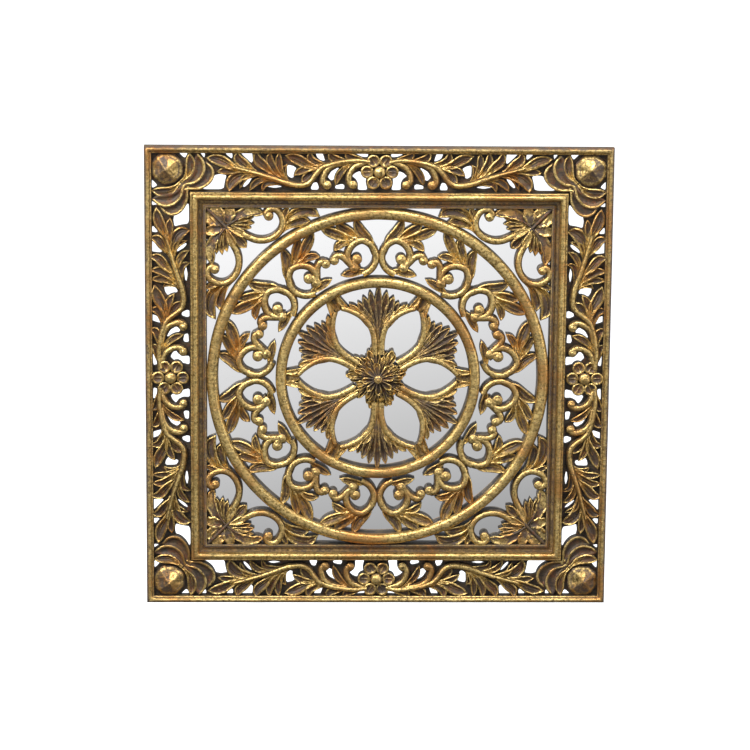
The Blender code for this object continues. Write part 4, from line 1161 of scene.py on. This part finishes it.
def add_softbox(name, place, size, power, colour):
    """A rectangular light that faces the panel's centre."""
    data = bpy.data.lights.new(name, "AREA")
    data.shape = "RECTANGLE"
    data.size, data.size_y = size
    data.energy = power
    data.color = colour
    light = bpy.data.objects.new(name, data)
    light.location = place
    facing = Vector((CENTRE_X, 0, CENTRE_Z)) - Vector(place)
    light.rotation_euler = facing.to_track_quat("-Z", "Y").to_euler()
    light.visible_camera = False
    bpy.context.scene.collection.objects.link(light)


def stage_plane(name, corners, material):
    data = bpy.data.meshes.new(name)
    data.from_pydata(corners, [], [(0, 1, 2, 3)])
    data.materials.append(material)
    plane = bpy.data.objects.new(name, data)
    bpy.context.scene.collection.objects.link(plane)
    return plane


def make_world():
    """White to the camera; for the light, dim and brighter toward the top."""
    world = bpy.data.worlds.new("studio")
    bpy.context.scene.world = world
    world.use_nodes = True
    tree = world.node_tree
    tree.nodes.clear()
    output = tree.nodes.new("ShaderNodeOutputWorld")
    seen = tree.nodes.new("ShaderNodeBackground")
    seen.inputs["Color"].default_value = (1, 1, 1, 1)
    seen.inputs["Strength"].default_value = SEEN_STRENGTH
    lit = tree.nodes.new("ShaderNodeBackground")
    lit.inputs["Color"].default_value = LIGHT_COLOUR
    direction = tree.nodes.new("ShaderNodeTexCoord")
    split = tree.nodes.new("ShaderNodeSeparateXYZ")
    rise = tree.nodes.new("ShaderNodeMapRange")
    rise.inputs["From Min"].default_value = LIGHT_LOWEST
    rise.inputs["From Max"].default_value = LIGHT_HIGHEST
    rise.inputs["To Min"].default_value = LIGHT_BELOW
    rise.inputs["To Max"].default_value = LIGHT_ABOVE
    tree.links.new(direction.outputs["Generated"], split.inputs[0])
    tree.links.new(split.outputs["Z"], rise.inputs["Value"])
    tree.links.new(rise.outputs["Result"], lit.inputs["Strength"])
    mix = tree.nodes.new("ShaderNodeMixShader")
    path = tree.nodes.new("ShaderNodeLightPath")
    tree.links.new(path.outputs["Is Camera Ray"], mix.inputs[0])
    tree.links.new(lit.outputs[0], mix.inputs[1])
    tree.links.new(seen.outputs[0], mix.inputs[2])
    tree.links.new(mix.outputs[0], output.inputs["Surface"])


def make_floor():
    """A pale plain floor that throws no light of its own on the panel."""
    look = Nodes("pale floor")
    look.shader.inputs["Base Color"].default_value = (0.95, 0.95, 0.95, 1)
    look.shader.inputs["Roughness"].default_value = 0.8
    look.shader.inputs["Emission Color"].default_value = (1, 1, 1, 1)
    look.shader.inputs["Emission Strength"].default_value = FLOOR_GLOW
    low = CENTRE_Z - FLOOR_DROP
    left, right = -FLOOR_HALF_WIDTH, FLOOR_HALF_WIDTH
    near, far = FLOOR_NEAR, FLOOR_FAR
    corners = [(x, y, low) for x, y in ((left, near), (right, near), (right, far), (left, far))]
    floor = stage_plane("floor", corners, look.material)
    floor.visible_diffuse = False
    floor.visible_glossy = False


def make_mirror_card():
    """What the mirror reflects: a card that grows paler upward and to the left."""
    look = Nodes("mirror card")
    tree = look.tree
    tree.nodes.remove(look.shader)
    emission = tree.nodes.new("ShaderNodeEmission")
    split = tree.nodes.new("ShaderNodeSeparateXYZ")
    tree.links.new(look.place, split.inputs[0])
    level = look.math("MULTIPLY_ADD", split.outputs["Z"], CARD_RISE, CARD_LEVEL - CARD_RISE * CENTRE_Z)
    level = look.math("MULTIPLY_ADD", split.outputs["X"], CARD_FALL, level)
    level = look.math("MINIMUM", look.math("MAXIMUM", level, CARD_DARKEST), CARD_BRIGHTEST)
    tree.links.new(level, emission.inputs["Strength"])
    output = [node for node in tree.nodes if node.type == "OUTPUT_MATERIAL"][0]
    tree.links.new(emission.outputs[0], output.inputs["Surface"])
    left, right = -CARD_HALF_WIDTH, CARD_HALF_WIDTH
    bottom, top = CENTRE_Z + CARD_BOTTOM, CENTRE_Z + CARD_TOP
    corners = [(x, CARD_PLACE, z) for x, z in ((left, bottom), (right, bottom), (right, top), (left, top))]
    card = stage_plane("mirror_card", corners, look.material)
    card.visible_camera = False
    card.visible_diffuse = False
    card.visible_shadow = False


def make_studio():
    view = bpy.context.scene.view_settings
    view.view_transform = "Standard"
    view.look = "None"
    make_world()
    make_floor()
    make_mirror_card()
    for name, (x, y, rise), size, power, colour in SOFTBOXES:
        add_softbox(name, (x, y, CENTRE_Z + rise), size, power, colour)


build_panel()
dress_mirror()
make_studio()
make_camera()
